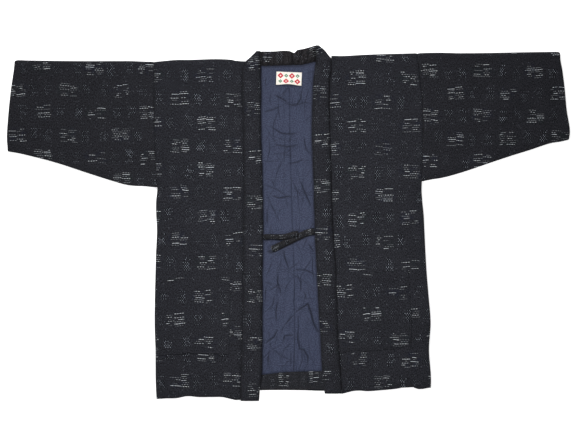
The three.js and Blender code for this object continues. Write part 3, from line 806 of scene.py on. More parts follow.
def foldedCloth(name, side, cut, spot, materials):
    # one cloth up the front, over the fold and down the back
    columns = rimmed(abs(cut["near"] - cut["far"]), cut["spacing"])
    nominal = mix(cut["near"], cut["far"], columns)
    foldLine = topOf(nominal) - foldCentre
    height = float(np.mean(foldLine - cut["foot"](nominal)))
    frontRows = rimmed(height, cut["spacing"], True, False)[:, None]
    backRows = frontRows[::-1]
    foldRows = np.linspace(math.pi / 2, -math.pi / 2, wadding["foldSteps"])[1:-1][:, None]

    y = mix(cut["foot"](nominal)[None, :], foldLine[None, :], frontRows)
    x = mix(cut["outer"](y), cut["inner"](y), columns[None, :])
    edges = cut["edges"](x, y, False)
    frontOut, frontIn = wallPoints(x, y, edges, cut["face"](x, y), False)
    frontUv = clothMap(x, y, spot)

    xFold = np.broadcast_to(x[-1], (len(foldRows), len(columns)))
    yFold = np.broadcast_to(foldLine, xFold.shape)
    fall, draw = edgeGive(cut["edges"](xFold, yFold, False))
    bulge = cut["face"](xFold, yFold) - (frontTop - fall)
    outRadius = foldCentre - fall + bulge * np.maximum(np.sin(foldRows), 0)
    inRadius = frontBottom - foldCentre + draw
    foldOut, foldIn = (
        np.stack([xFold, yFold + radius * np.cos(foldRows), foldCentre + radius * np.sin(foldRows)], axis=-1)
        for radius in (outRadius, inRadius))
    arc = foldCentre * (math.pi / 2 - foldRows) * np.ones_like(xFold)
    foldUv = clothMap(xFold, yFold + arc, spot)

    yBack = mix(cut["backFoot"](nominal)[None, :], foldLine[None, :], backRows)
    xBack = mix(cut["outer"](yBack), cut["backInner"](yBack), columns[None, :])
    backOut, backIn = wallPoints(xBack, yBack, cut["edges"](xBack, yBack, True), None, True)
    backUv = clothMap(xBack, foldLine[None, :] * 2 + foldCentre * math.pi - yBack, spot)

    parts = ((frontOut, foldOut, backOut), (frontIn, foldIn, backIn), (frontUv, foldUv, backUv))
    grids = [np.concatenate(part) for part in parts]
    grids.append(np.ones(grids[0].shape[:2], bool))
    if cut["panel"] is not None:
        grids = addPanel(grids, cut, foldLine, backRows, spot)
    return sheetSolid(name, *grids, sides[side] > 0, materials, insideSlot=1)


# The two body cloths, in millimetres: each outline is a table with named columns
body = {
    "armholeAt": 296,
    "neckHalf": 93,
    "centreBack": 3,
    "bandEnds": (332, 346),  # where the band's seam leaves the front for the neck
    "neckCorner": 75,  # past this the neck's edge rounds off less
    "neckEnd": 90,
    "bandShade": {"depth": 0.35, "width": 7.0},
    "armholeShade": {"depth": 0.4, "width": 4.0},
    "flat": (0.30, 1.50),  # metres, each cloth as it is cut
    "area": 0.368,
    "underarm": {"left": 80, "right": 94},
    "underarmBlend": 22,
    "sides": {
        "y": [-392, -340, -278, -219, -160, -110, -67, -15, 20, 50, 78, 170, 255, 310, 375],
        "left": [
            -290.5, -292.7, -293, -294.8, -294.2, -293, -291.8, -289.6, -291.4, -291.5, -288.5, -295, -296,
            -296, -296,
        ],
        "right": [
            312, 313.8, 309.5, 313, 308.6, 304.5, 301.8, 299.4, 297.6, 294.6, 293, 296, 296, 291, 283,
        ],
    },
    "shoulder": {
        "x": [
            -602, -570, -450, -350, -296, -247, -220, -165, -130, -115, -93, 93, 120, 180, 285, 340, 390,
            450, 520, 600,
        ],
        "top": [
            360, 359, 357.9, 358, 356.6, 360.5, 360.6, 362.3, 361.4, 358.8, 357.6, 369.4, 369.2, 372.2, 375,
            376.4, 375.4, 375.8, 377.2, 378.4,
        ],
    },
    "frontHem": {
        "x": [
            -289, -272, -247, -221, -194, -168, -137, -115, -103, 92, 108, 120, 134, 150, 172, 197, 221,
            245, 269, 293, 311,
        ],
        "y": [
            -386, -385, -384.4, -380, -382, -382, -382.2, -386.5, -388.5, -374.6, -371, -368.4, -367.6,
            -369, -367.8, -365.8, -363.2, -357.5, -364.5, -361.5, -361,
        ],
    },
    "backHem": {"x": [-289, -200, -60, 30, 80, 311], "y": [-380, -373, -367.8, -367.8, -369, -359]},
    "neckline": {
        "x": [-93, -62, -36, -10, 3, 30, 45, 60, 93],
        "y": [353.5, 347, 347.5, 348.5, 349, 349.5, 353, 357, 358],
    },
    "spacing": 3.4,  # size of a mesh cell
    "bumpSize": 125,
    "seed": {"left": 10, "right": 20},
    # soft folds in the fronts, each a ridge from one end to the other
    "folds": [
        {"x": [308, 262, 215], "y": [22, 5, -28], "rise": 1.7, "width": 13},
        {"x": [300, 250, 196], "y": [-22, -62, -104], "rise": 1.5, "width": 15},
        {"x": [282, 240], "y": [-120, -150], "rise": 1.2, "width": 12},
        {"x": [215, 168, 130], "y": [-52, -86, -132], "rise": 1.1, "width": 14},
        {"x": [290, 268, 232], "y": [60, 88, 130], "rise": 1.1, "width": 14},
        {"x": [140, 175, 190], "y": [250, 190, 120], "rise": 0.9, "width": 16},
        {"x": [-284, -262, -258], "y": [30, -20, -90], "rise": 1.2, "width": 13},
        {"x": [-286, -240, -196], "y": [72, 104, 118], "rise": 1.1, "width": 13},
        {"x": [-132, -160, -178], "y": [40, -20, -80], "rise": 0.9, "width": 15},
        {"x": [-270, -225, -180], "y": [-318, -334, -330], "rise": 1.0, "width": 11},
        {"x": [150, 205, 262], "y": [-318, -330, -322], "rise": 1.0, "width": 11},
        {"x": [-214, -165, -108], "y": [5, 0, 3], "rise": -1.5, "width": 8},
        {"x": [-118, -122, -112], "y": [-240, -280, -330], "rise": -1.0, "width": 8},
        {"x": [122, 128, 120], "y": [-60, -120, -180], "rise": -1.0, "width": 9},
    ],
}


def sideOf(side, y):
    return along(body["sides"], "y", side, y)


def topOf(x):
    return along(body["shoulder"], "x", "top", x)


def necklineAt(x):
    return np.interp(x, body["neckline"]["x"], body["neckline"]["y"])


def bodyEdges(side, x, y, isBack=False):
    sign = sides[side]
    sewn = 1 - ease(y, body["underarm"][side] - body["underarmBlend"], body["underarm"][side])
    offSide = np.abs(x - sideOf(side, y))
    foot = along(body["backHem" if isBack else "frontHem"], "x", "y", x)
    inner = body["centreBack"] if isBack else collarSeam(side, y)
    edges = [(offSide, "sewn", sewn), (offSide, "butt", 1 - sewn), (y - foot, "hem", 1.0),
             (np.abs(x - inner), "butt" if isBack else "band", 1 - ease(y, *body["bandEnds"]))]
    if isBack:
        offNeck = necklineAt(x) - y + np.maximum(0, np.abs(x) - body["neckCorner"])
        edges.append((offNeck, "butt", 1.0 * (sign * x < body["neckEnd"])))
    return edges


def bodyFace(side, x, y):
    return wallFace(x, y, bodyEdges(side, x, y), body, side)


def bodyPiece(side):
    sign = sides[side]
    cut = {
        "near": sign * body["armholeAt"],
        "far": sign * body["neckHalf"],
        "spacing": body["spacing"],
        "outer": lambda y: sideOf(side, y),
        "inner": lambda y: collarSeam(side, y),
        "backInner": lambda y: sign * body["neckHalf"],
        "foot": lambda x: along(body["frontHem"], "x", "y", x),
        "backFoot": lambda x: along(body["backHem"], "x", "y", x),
        "edges": lambda x, y, isBack: bodyEdges(side, x, y, isBack),
        "face": lambda x, y: bodyFace(side, x, y),
        "panel": (body["centreBack"] + sign * layers["seam"] / 2, sign * body["neckHalf"]),
    }
    key = "body" + side.capitalize()
    piece = foldedCloth(key + "Cloth", side, cut, kasuri[key], [outerCloth[key], liningCloth])

    # painted shade beside the band's seam and along the armhole seam, and a painted shadow below the left
    # pocket's foot
    def shadeAmountAt(x, y, z):
        pocket, band, sleeve = pockets[side], body["bandShade"], body["armholeShade"]
        onFront = z > frontBottom
        beside = band["depth"] * bell(x - collarSeam(side, y), band["width"]) * onFront
        armhole = sleeve["depth"] * bell(x - sideOf(side, y), sleeve["width"]) * (y > body["underarm"][side])
        within = (x > pocket["outer"]) * (np.abs(x) > abs(pocket["inner"]))
        below = pocket["footShade"] * bell(y - pocket["foot"] + 1, 3.2) * onFront * within
        return beside + armhole + below

    shadeCavity(piece, shadeAmountAt)
    finishPiece(piece, "outer_cloth", "body_" + side)
    return piece


# The two sleeves
sleeves = {
    "cuffAt": 612,
    "cuffs": {
        "y": [150, 170, 184, 206, 249, 293, 337, 360, 378],
        "left": [-617.5, -618.5, -619.5, -619, -615.7, -611, -604.6, -602.6, -603],
        "right": [606, 613, 617, 619, 612.2, 608.2, 602.7, 598.4, 597.8],
    },
    "under": {
        "x": [
            -620, -600, -577, -507, -437, -366, -345, -327, -291, 291, 320, 335, 355, 390, 461, 531, 573,
            600, 616,
        ],
        "y": [
            159.5, 156.6, 151.8, 133, 109, 86, 82.8, 82.2, 79.4, 92.5, 97.2, 99.4, 103.8, 114, 138, 161,
            176.2, 181, 186,
        ],
    },
    "spacing": 3.4,
    "bumpSize": 120,
    "seed": {"left": 30, "right": 40},
    "flat": (0.325, 0.57),  # metres, each cloth as it is cut
    "area": 0.158,
    "folds": [
        {"x": [-306, -352, -402], "y": [96, 150, 192], "rise": 1.4, "width": 15},
        {"x": [-312, -340, -372], "y": [130, 206, 262], "rise": 1.1, "width": 17},
        {"x": [-420, -470, -520], "y": [130, 170, 188], "rise": 1.1, "width": 15},
        {"x": [-560, -575, -572], "y": [170, 230, 300], "rise": 1.0, "width": 15},
        {"x": [-480, -500, -540], "y": [230, 270, 300], "rise": 0.8, "width": 18},
        {"x": [306, 350, 398], "y": [108, 160, 196], "rise": 1.4, "width": 15},
        {"x": [310, 332, 352], "y": [150, 222, 284], "rise": 1.1, "width": 17},
        {"x": [420, 466, 530], "y": [146, 190, 210], "rise": 1.1, "width": 15},
        {"x": [480, 492, 520], "y": [240, 292, 330], "rise": 0.9, "width": 18},
        {"x": [560, 570, 566], "y": [196, 250, 316], "rise": 1.0, "width": 14},
        {"x": [430, 410, 392], "y": [352, 300, 262], "rise": -1.4, "width": 9},
    ],
}


def sleeveEdges(side, x, y):
    outer = along(sleeves["cuffs"], "y", side, y)
    armhole = sideOf(side, y) + sides[side] * layers["gap"]
    foot = along(sleeves["under"], "x", "y", x)
    return [(np.abs(x - outer), "hem", 1.0), (np.abs(x - armhole), "butt", 1.0), (y - foot, "sewn", 1.0)]


def sleevePiece(side):
    sign = sides[side]

    def armhole(y):
        return sideOf(side, y) + sign * layers["gap"]

    cut = {
        "near": sign * sleeves["cuffAt"],
        "far": sign * body["armholeAt"],
        "spacing": sleeves["spacing"],
        "outer": lambda y: along(sleeves["cuffs"], "y", side, y),
        "inner": armhole,
        "backInner": armhole,
        "foot": lambda x: along(sleeves["under"], "x", "y", x),
        "backFoot": lambda x: along(sleeves["under"], "x", "y", x),
        "edges": lambda x, y, isBack: sleeveEdges(side, x, y),
        "face": lambda x, y: wallFace(x, y, sleeveEdges(side, x, y), sleeves, side),
        "panel": None,
    }
    key = "sleeve" + side.capitalize()
    piece = foldedCloth(key + "Cloth", side, cut, kasuri[key], [outerCloth[key], liningCloth])
    finishPiece(piece, "outer_cloth", "sleeve_" + side)
    return piece


# The padded band
collar = {
    "thick": 12.0,
    "wide": 42.0,  # for its pattern alone
    "turn": 6.0,  # how much of the pattern goes under at its left edge
    "wave": 0.8,  # how far its inner edge strays
    "seed": {"left": 50, "right": 60},
    "around": 44,  # points round the band's section
    "neckAround": 48,
    "neckSpacing": 1.4,
    "neckAt": 380,  # how far up the jacket the ends behind the neck are taken
    "neckMiddle": 364,  # where the creases there lean from
    "neckFrom": 345,  # above this the long bands get more painted shade at their inner edge
    "neckSeed": 71,
    "seamShade": {"left": 6.0, "right": 9.0},  # widths of the painted shade beside each seam
    "endAt": {"left": -390, "right": -374},
    "topAt": {"left": 380.5, "right": 393},
    "dropFrom": {"left": 354.5, "right": 359},
    "dropLength": 13,
    "edges": {
        "y": [-392, -322, -223, -113, -3, 107, 217, 316, 342, 353, 392],
        "seamLeft": [-105.5, -104.5, -101, -100, -99, -98, -99, -102, -100, -93, -93],
        "innerLeft": [-65, -59, -58, -58, -56, -58, -61, -61, -61, -62, -62],
        "seamRight": [119, 114.5, 109, 105.5, 98, 94.5, 91, 91, 96, 95, 93],
        "innerRight": [80.5, 74.5, 69, 63, 58, 54.5, 51.5, 55, 58.5, 60, 60],
    },
    # how far the outer edge leans in as it goes over the shoulder
    "rounding": {
        "left": {"y": [349, 352, 353.5, 356.5, 358, 360.6, 367, 373.6, 377.7, 391],
                 "in": [0, -0.8, -1.5, -1.5, -0.8, 1.4, 8.4, 15, 19.5, 26]},
        "right": {"y": [352, 361, 364, 367, 375.8, 383.9, 388.3, 393],
                  "in": [0, -0.2, 0.2, 2.8, 9.0, 15.6, 21, 26]},
    },
    "neckTop": {
        "x": [-62, -30, -16, -5, 3, 9, 13, 19, 33, 50, 60],
        "y": [379.2, 379.6, 380.8, 381, 380, 377.4, 376.4, 382.2, 385, 389.6, 392.6],
    },
    "neckOver": 1.8,  # how far that band leans out over the lining
    "neckUnder": 1.6,  # how far its ends run in beneath the two long bands
    # creases across the band behind the neck
    "neckPuckers": [
        {"x": -56, "depth": 2.6, "width": 2.4, "lean": 0.05},
        {"x": -45, "depth": 3.4, "width": 2.8, "lean": -0.12},
        {"x": -38, "depth": 1.8, "width": 2.2, "lean": 0.2},
        {"x": -30, "depth": 2.4, "width": 3.2, "lean": 0.1},
        {"x": -19, "depth": 1.8, "width": 2.8, "lean": -0.1},
        {"x": -9, "depth": 2.4, "width": 3.4, "lean": 0.15},
        {"x": 1, "depth": 1.8, "width": 2.6, "lean": -0.2},
        {"x": 9, "depth": 4.4, "width": 3.0, "lean": -0.1},
        {"x": 17, "depth": 1.8, "width": 2.6, "lean": 0.3},
        {"x": 26, "depth": 3.2, "width": 3.0, "lean": 0.25},
        {"x": 35, "depth": 2.0, "width": 2.4, "lean": -0.2},
        {"x": 43, "depth": 3.0, "width": 3.0, "lean": 0.2},
        {"x": 52, "depth": 2.8, "width": 2.6, "lean": 0.35},
    ],
    "section": {
        "across": [0, 0.04, 0.14, 0.32, 0.68, 0.86, 0.96, 1, 0.96, 0.86, 0.14, 0.04],
        "up": [0.5, 0.76, 0.93, 1, 1, 0.93, 0.76, 0.5, 0.16, 0, 0, 0.16],
    },
    "spacing": 3.0,
}


def collarSeam(side, y):
    return along(collar["edges"], "y", "seam" + side.capitalize(), y)


def collarInner(side, y):
    return along(collar["edges"], "y", "inner" + side.capitalize(), y)


def bandSection(count):
    # the rounded section of the band, as smooth points from the left edge over the top and back under
    place = np.arange(count) * len(collar["section"]["up"]) / count
    i = np.floor(place).astype(int)
    rows = []
    for key in ("across", "up"):
        values = np.array(collar["section"][key], float)
        a, b, c, d = (values[(i + k) % len(values)] for k in (-1, 0, 1, 2))
        rows.append(curveThrough(a, b, c, d, place - i))
    return rows[0], np.clip(rows[1], 0, None)


def collarPiece(side):
    sign = sides[side]
    low, high = collar["endAt"][side], collar["topAt"][side]
    places = low + rimmed(high - low, collar["spacing"]) * (high - low)
    y = places[:, None]
    seed = collar["seed"][side]
    wave = softNoise(y * 0, y, 46, seed) * collar["wave"]
    seam = collarSeam(side, y) - sign * (layers["seam"] + along(collar["rounding"][side], "y", "in", y))
    flatPart = 1 - ease(y, 325, 350)
    inner = collarInner(side, y) + wave * flatPart
    tip = 1 - rounding(np.minimum(y - low, high - y) * 1.3, 12)
    drop = ease(y, collar["dropFrom"][side], collar["dropFrom"][side] + collar["dropLength"])
    thick = collar["thick"] * (1 - 0.55 * tip)
    bottom = mix(frontBottom, 0, drop) + collar["thick"] * 0.27 * tip * (1 - drop)
    across, up = bandSection(collar["around"])
    start, stop = (seam, inner) if side == "left" else (inner, seam)
    x = mix(start, stop, across[None, :])
    gathers = softNoise(x * 0.35, y, 15, seed + 1) * 0.32 + softNoise(x, y, 34, seed + 2) * 0.4
    z = bottom + thick * up[None, :] + gathers * np.clip(up[None, :] * 1.6 - 0.6, 0, 1)
    rings = np.stack([x, np.broadcast_to(y, x.shape), z], axis=-1)
    key = "collar" + side.capitalize()
    steps = np.hypot(np.diff(across) * collar["wide"], np.diff(up) * collar["thick"])
    arc = np.concatenate([[0], np.cumsum(steps)])
    u = start + (arc[None, :] - collar["turn"])
    piece = loftSolid(key + "Band", rings, clothMap(u, np.broadcast_to(y, x.shape), kasuri[key]),
                      [outerCloth["collar"]])

    # painted shade along the band's seam and its inner edge, heavier at the inner edge near the neck
    def shadeAmountAt(x, y, z):
        patchy = 1 + 0.5 * softNoise(x * 0, y, 30, seed + 3)
        outer = 0.45 * bell(x - collarSeam(side, y), collar["seamShade"][side])
        inner = 0.6 * bell(x - collarInner(side, y), 4.0)
        return (outer + inner) * patchy + inner * (y > collar["neckFrom"])

    shadeCavity(piece, shadeAmountAt)
    finishPiece(piece, "collar_cloth", "collar_" + side)
    return piece


def neckPiece():
    left = float(collarInner("left", collar["neckAt"])) - collar["neckUnder"]
    right = float(collarInner("right", collar["neckAt"])) + collar["neckUnder"]
    x = (left + rimmed(right - left, collar["neckSpacing"]) * (right - left))[:, None]
    low = necklineAt(x) + layers["gap"] * 0.6
    high = along(collar["neckTop"], "x", "y", x)
    across, up = bandSection(collar["neckAround"])
    y = mix(low, high, across[None, :])
    y = y - collar["neckOver"] * bell(up[None, :] - 0.82, 0.16) * (across[None, :] < 0.3)
    dip = np.zeros_like(y)
    for fold in collar["neckPuckers"]:
        off, width = x - fold["x"] - fold["lean"] * (y - collar["neckMiddle"]), fold["width"]
        dip = dip + fold["depth"] * (bell(off, width) - 0.35 * bell(off - 1.9 * width, 1.3 * width))
    tip = 1 - rounding(np.minimum(x - left, right - x), 7)
    upper = np.clip(up[None, :] * 1.5 - 0.5, 0, 1)
    ripple = softNoise(x, y, 16, collar["neckSeed"]) * 0.3 * upper
    z = (collar["thick"] - 8 * tip) * up[None, :] - dip * upper + ripple
    rings = np.stack([np.broadcast_to(x, y.shape), y, z], axis=-1)[:, ::-1]
    arc = np.broadcast_to(high - low, y.shape) * across[None, :]
    u = np.broadcast_to(x, y.shape)
    uv = clothMap(u, 350 + arc, kasuri["collarNeck"])[:, ::-1]
    piece = loftSolid("collarNeckBand", rings, uv, [outerCloth["neck"]])

    # painted shade at the band's ends, in its puckers and along its lower edge
    def shadeAmountAt(x, y, z):
        ends = bell(x - collarInner("left", y), 5.0) + bell(x - collarInner("right", y), 5.0)
        dips = 0.0
        for fold in collar["neckPuckers"]:
            off = x - fold["x"] - fold["lean"] * (y - collar["neckMiddle"])
            dips = dips + 0.26 * fold["depth"] * bell(off, fold["width"])
        return 1.3 * ends + dips + 0.6 * bell(y - necklineAt(x), 5.0)

    shadeCavity(piece, shadeAmountAt)
    finishPiece(piece, "collar_cloth", "collar_neck")
    return piece


# The outer cloth turned up inside the back hem
facing = {
    "hem": -365.6,
    "top": {"x": [-75, -57, -35, -19, 20, 90], "y": [-334, -333.4, -331, -328.6, -326.5, -325.4]},
    "columns": 110,
    "spacing": 2.0,
    "ripple": 0.4,  # how far its upper edge strays
    "seed": 91,
    "flat": (0.16, 0.037),  # metres
    "fold": {"x": [24.4, 24.4], "y": [-362, -329], "rise": -1.3, "width": 1.5},
}


def facingTopAt(x):
    return along(facing["top"], "x", "y", x)


def facingPiece():
    hem = facing["hem"]
    left = float(collarInner("left", hem)) - lining["reach"]
    right = float(collarInner("right", hem)) + lining["reach"]
    across = (left + np.linspace(0, 1, facing["columns"]) * (right - left))[None, :]
    high = facingTopAt(across) + facing["ripple"] * np.sin(across / 9)
    rows = rimmed(float(facingTopAt(0)) - hem, facing["spacing"])[:, None]
    x, y = np.broadcast_arrays(across, mix(hem, high, rows))
    fromEdge = np.minimum(y - hem, high - y)
    broad, fine = softNoise(x, y * 0.4, 24, facing["seed"]), softNoise(x, y * 0.3, 9, facing["seed"] + 1)
    rise = broad * 0.45 + fine * 0.3 + 0.4 + foldShape(x, y, facing["fold"])
    face = liningBottom + layers["facing"] - 0.6 * (1 - rounding(fromEdge, 3)) + rise * rounding(fromEdge, 6)
    outside = np.stack([x, y, face], axis=-1)
    inside = np.stack([x, y, np.full(face.shape, liningBottom)], axis=-1)
    piece = sheetSolid("hemFacingCloth", outside, inside, clothMap(x, y, kasuri["facing"]),
                       np.ones(face.shape, bool), False, [outerCloth["facing"]])
    finishPiece(piece, "outer_cloth", "hem_facing")
    return piece


# The lining
lining = {
    "flat": {"left": (0.090, 0.68), "right": (0.076, 0.68)},  # metres
    "reach": 12,  # how far it runs in beneath each band
    "topAt": 348,
    "spacing": 1.45,
    "columns": 84,
    "loft": 1.5,  # how far the loose cloth stands off what it lies on
    "seed": 81,
    # small wrinkles, most of them upright: angles are in radians from straight down
    "fine": {
        "seed": 80, "count": 210, "x": (-62, 78), "y": (-322, 335), "rise": (0.3, 1.1), "length": (14, 80),
        "width": (1.9, 3.4), "upright": 0.75, "spread": 0.5, "slanting": (1.0, 2.1), "bend": 0.3,
    },
    "seam": {"y": [-330, -223, -113, -3, 217, 360], "x": [12, 14, 13, 9, 3.5, 2]},
    # creases of the lining, from the neck down
    "creases": [
        {"x": [-29.7, -1.1], "y": [282.7, 267.3], "rise": 1.7, "width": 4.6},
        {"x": [-7.7, 8, 18.7, 27, 29.7], "y": [265.1, 260, 260.7, 274, 293.7], "rise": 1.4, "width": 4.2},
        {"x": [-57, -36, -14.3], "y": [245.3, 250, 258.5], "rise": 1.1, "width": 4.6},
        {"x": [-40.7, -16.5, -3.3, 20.9], "y": [214.5, 199.1, 196.9, 199.1], "rise": 1.7, "width": 4.4},
        {"x": [-31.9, -14.3, 5.5, 23.1], "y": [174.9, 170.5, 168.3, 174.9], "rise": 1.5, "width": 4.0},
        {"x": [34.1, 38.5, 47.3], "y": [190.3, 166.1, 152.9], "rise": 1.2, "width": 4.0},
        {"x": [-1.1, 20.9, 34.1], "y": [130.9, 135.3, 141.9], "rise": 1.3, "width": 4.2},
        {"x": [-36.3, -18.7, 7.7], "y": [60.5, 56.1, 60.5], "rise": 1.6, "width": 4.4},
        {"x": [25.3, 34.1, 51.7], "y": [95.7, 73.7, 34.1], "rise": 1.5, "width": 4.2},
        {"x": [12.1, 29.7], "y": [78.1, 60.5], "rise": 1.1, "width": 3.4},
        {"x": [-47.3, -46.5, -45.1], "y": [31.9, 14, -1.1], "rise": 1.3, "width": 3.2},
        {"x": [-10.8, -7.7, 1.1], "y": [-58.3, -75.9, -100.1], "rise": 1.9, "width": 3.8},
        {"x": [42.9, 56.1], "y": [-42.9, -62.7], "rise": 1.5, "width": 3.8},
        {"x": [14.3, 36.3, 47.3, 60.5], "y": [-102.3, -102.3, -106.7, -115.5], "rise": 1.7, "width": 4.2},
        {"x": [-23.1, -23.1, -14.3], "y": [-106.7, -133.1, -159.5], "rise": 1.3, "width": 4.4},
        {"x": [-23.1, -27.5, -26.4], "y": [-168.3, -194.7, -218.9], "rise": 1.3, "width": 4.4},
        {"x": [-51.7, -36.3], "y": [-128.7, -135.3], "rise": 1.0, "width": 3.6},
        {"x": [27.5, 27.5], "y": [-119.9, -150.7], "rise": 1.1, "width": 3.8},
        {"x": [34.1, 40.7], "y": [-148.5, -168.3], "rise": 1.0, "width": 3.6},
        {
            "x": [16.5, 29.7, 42.9, 49.5, 56.1, 69.3],
            "y": [-194.7, -185.9, -177.1, -194.7, -221.1, -245.3],
            "rise": 2.4,
            "width": 4.8,
        },
        {"x": [-7.7, 5.5, 12.1], "y": [-223.3, -207.9, -201.3], "rise": 1.4, "width": 4.0},
        {"x": [-51.7, -31.9, -23.1], "y": [-265.1, -249.7, -232.1], "rise": 1.6, "width": 4.4},
        {"x": [-12.1, -7.7, 14.3], "y": [-262.9, -247.5, -245.3], "rise": 1.5, "width": 4.0},
        {"x": [-42.9, -44.5, -45.1], "y": [-278.3, -298, -317.9], "rise": 1.4, "width": 3.8},
        {
            "x": [18.7, 25.3, 34.1, 42.9, 42.9],
            "y": [-238.7, -276.1, -278.3, -293.7, -313.5],
            "rise": 1.8,
            "width": 4.4,
        },
        {"x": [5.5, 5.5], "y": [-280.5, -318], "rise": 1.1, "width": 3.0},
    ],
}


def fineCreases():
    fine = lining["fine"]
    picks = np.random.default_rng(fine["seed"])
    found = []
    for _ in range(fine["count"]):
        x, y = picks.uniform(*fine["x"]), picks.uniform(*fine["y"])
        isUpright = picks.random() < fine["upright"]
        lean = picks.normal(0, fine["spread"]) if isUpright else picks.uniform(*fine["slanting"])
        length = picks.uniform(*fine["length"])
        bend = picks.uniform(-fine["bend"], fine["bend"])
        xs, ys = [x], [y]
        for angle in (lean - bend, lean + bend):
            xs.append(xs[-1] + math.sin(angle) * length / 2)
            ys.append(ys[-1] - math.cos(angle) * length / 2)
        rise, width = picks.uniform(*fine["rise"]), picks.uniform(*fine["width"])
        found.append({"x": xs, "y": ys, "rise": rise, "width": width})
    return found


def liningFace(x, y):
    # height of the lining: free where it shows, held down by the bands, the ties, the label and the seam; and
    # its painted shade in the creases, at the seam, along its edges and beside the ties and the label
    inward = np.minimum(x - collarInner("left", y), collarInner("right", y) - x)
    free = ease(inward, -6, 3) * ease(y - facingTopAt(x), 0, 5) * ease(necklineAt(x) - y, 0, 6)
    seed = lining["seed"]
    rise = lining["loft"] + 0.6 * softNoise(x, y * 0.35, 22, seed) + 0.3 * softNoise(x, y * 0.45, 9, seed + 1)
    paintedShade = np.zeros(x.shape)
    for crease in lining["creases"] + fineCreases():
        shape, deep = creaseShape(x, y, crease)
        rise = rise + shape
        # painted shade in each crease's valley
        paintedShade = np.maximum(paintedShade, deep)
    offSeam = np.abs(x - along(lining["seam"], "y", "x", y))
    gathers = 0.5 * softNoise(y * 0, y, 14, seed + 3) * np.exp(-offSeam / 7)
    seamDip = 0.9 * bell(offSeam, 1.3) - 0.35 * bell(offSeam - 4, 2.6)
    # painted shade along the seam, along the edges that run in under the bands, and below the neck band
    paintedShade = np.maximum(paintedShade, 0.35 * bell(offSeam, 0.9) * (1 + softNoise(y * 0, y, 60, seed + 4)))
    paintedShade = np.maximum(paintedShade, bell(np.maximum(inward, 0), 3.6))
    paintedShade = np.maximum(paintedShade, 0.9 * bell(np.maximum(necklineAt(x) - y - 1.5, 0), 3.4))
    face = liningTop + (rise + gathers - seamDip) * free
    face = np.minimum(face, liningTop + 0.1 + 0.4 * np.maximum(inward + 5.5, 0))
    for side in sides:
        tie = ties[side]
        off, turned, place = lineDistance(x, y, tie)
        low = np.interp(place, np.linspace(0, 1, len(tie["z"])), tie["z"]) - tie["thick"] / 2 - 0.3
        beside = np.maximum(off - tie["width"] / 2, 0)
        # painted shadow beside each tie, darker along its lower side
        paintedShade = np.maximum(paintedShade, bell(beside, 2.8) * np.where(-sides[side] * turned > 0, 1.1, 0.4))
        face = np.minimum(face, low + 0.4 * np.maximum(beside - 1, 0))
    turn = label["slant"]
    offX, offY = x - label["x"], y - label["y"]
    across = np.abs(offX * math.cos(turn) + offY * math.sin(turn)) - label["width"] / 2
    up = np.abs(offY * math.cos(turn) - offX * math.sin(turn)) - label["height"] / 2
    beyond = np.hypot(np.maximum(across - 1, 0), np.maximum(up - 1, 0))
    beneath = np.hypot(np.maximum(across, 0), np.maximum(up - 1, 0))
    # painted shadow beneath the label's lower edge
    paintedShade = np.maximum(paintedShade, 0.8 * bell(beneath, 2.2) * (y < label["y"]))
    face = np.minimum(face, liningTop + layers["gap"] / 2 + 0.45 * beyond)
    return np.maximum(face, liningBottom + 0.4), np.clip(paintedShade, 0, 1)


def liningPiece(side):
    sign = sides[side]
    low = float(facingTopAt(0))
    rows = np.linspace(0, 1, int((lining["topAt"] - low) / lining["spacing"]) + 1)[:, None]
    columns = np.linspace(0, 1, lining["columns"])[None, :]
    level = mix(low, lining["topAt"], rows)
    seam = along(lining["seam"], "y", "x", level) + sign * layers["seam"] / 2
    reach = lining["reach"] * (1 - ease(level, lining["topAt"] - 30, lining["topAt"] - 2))
    edge = collarInner(side, level) + sign * reach
    x = mix(seam, edge, columns)
    y = mix(facingTopAt(x) + layers["gap"], necklineAt(x) + layers["gap"] / 2, rows)
    top, paintedShade = liningFace(x, y)
    outside = np.stack([x, y, top], axis=-1)
    inside = np.stack([x, y, np.maximum(top - layers["lining"], liningBottom)], axis=-1)
    uv = np.stack([x, y], axis=-1) * millimetre
    piece = sheetSolid("lining" + side.capitalize() + "Cloth", outside, inside, uv, np.ones(x.shape, bool),
                       side == "left", [liningCloth])
    shadeCavity(piece, lambda *_: np.tile(paintedShade.ravel(), 2))
    finishPiece(piece, "lining_cloth", "lining_" + side)
    return piece


# The patch pockets
pockets = {
    "left": {
        "outer": -288, "inner": -131, "foot": -286, "mouth": -118,
        "edgeFall": 0.7, "edgeWidth": 2.0, "footShade": 0.6, "seed": 95,
    },
    "right": {
        "outer": 269, "inner": 107, "foot": -278, "mouth": -107,
        "edgeFall": 1.4, "edgeWidth": 9.0, "footShade": 0.0, "seed": 97,
    },
    "spacing": 3.4,
    "hemDepth": 22,  # turned-in hem at the mouth
    "hemThick": 0.5,
    "stitchDip": 0.45,
}


def pocketGrid(side, rows, columns):
    # places on the front that a pocket covers
    sign = sides[side]
    pocket = pockets[side]
    near, far = sign * body["armholeAt"], sign * body["neckHalf"]
    outer, inner = sideOf(side, pocket["foot"]), collarSeam(side, pocket["foot"])
    shares = [(pocket[end] - outer) / (inner - outer) for end in ("outer", "inner")]
    middle = mix(near, far, 0.5)

    def foldAt(x):
        return topOf(x) - foldCentre

    foot = along(body["frontHem"], "x", "y", middle)
    levels = [(pocket[end] - foot) / (foldAt(middle) - foot) for end in ("foot", "mouth")]
    share = mix(shares[0], shares[1], columns)
    nominal = mix(near, far, share)
    footLine = along(body["frontHem"], "x", "y", nominal)
    y = mix(footLine, foldAt(nominal), mix(levels[0], levels[1], rows))
    x = mix(sideOf(side, y), collarSeam(side, y), share)
    return x, y


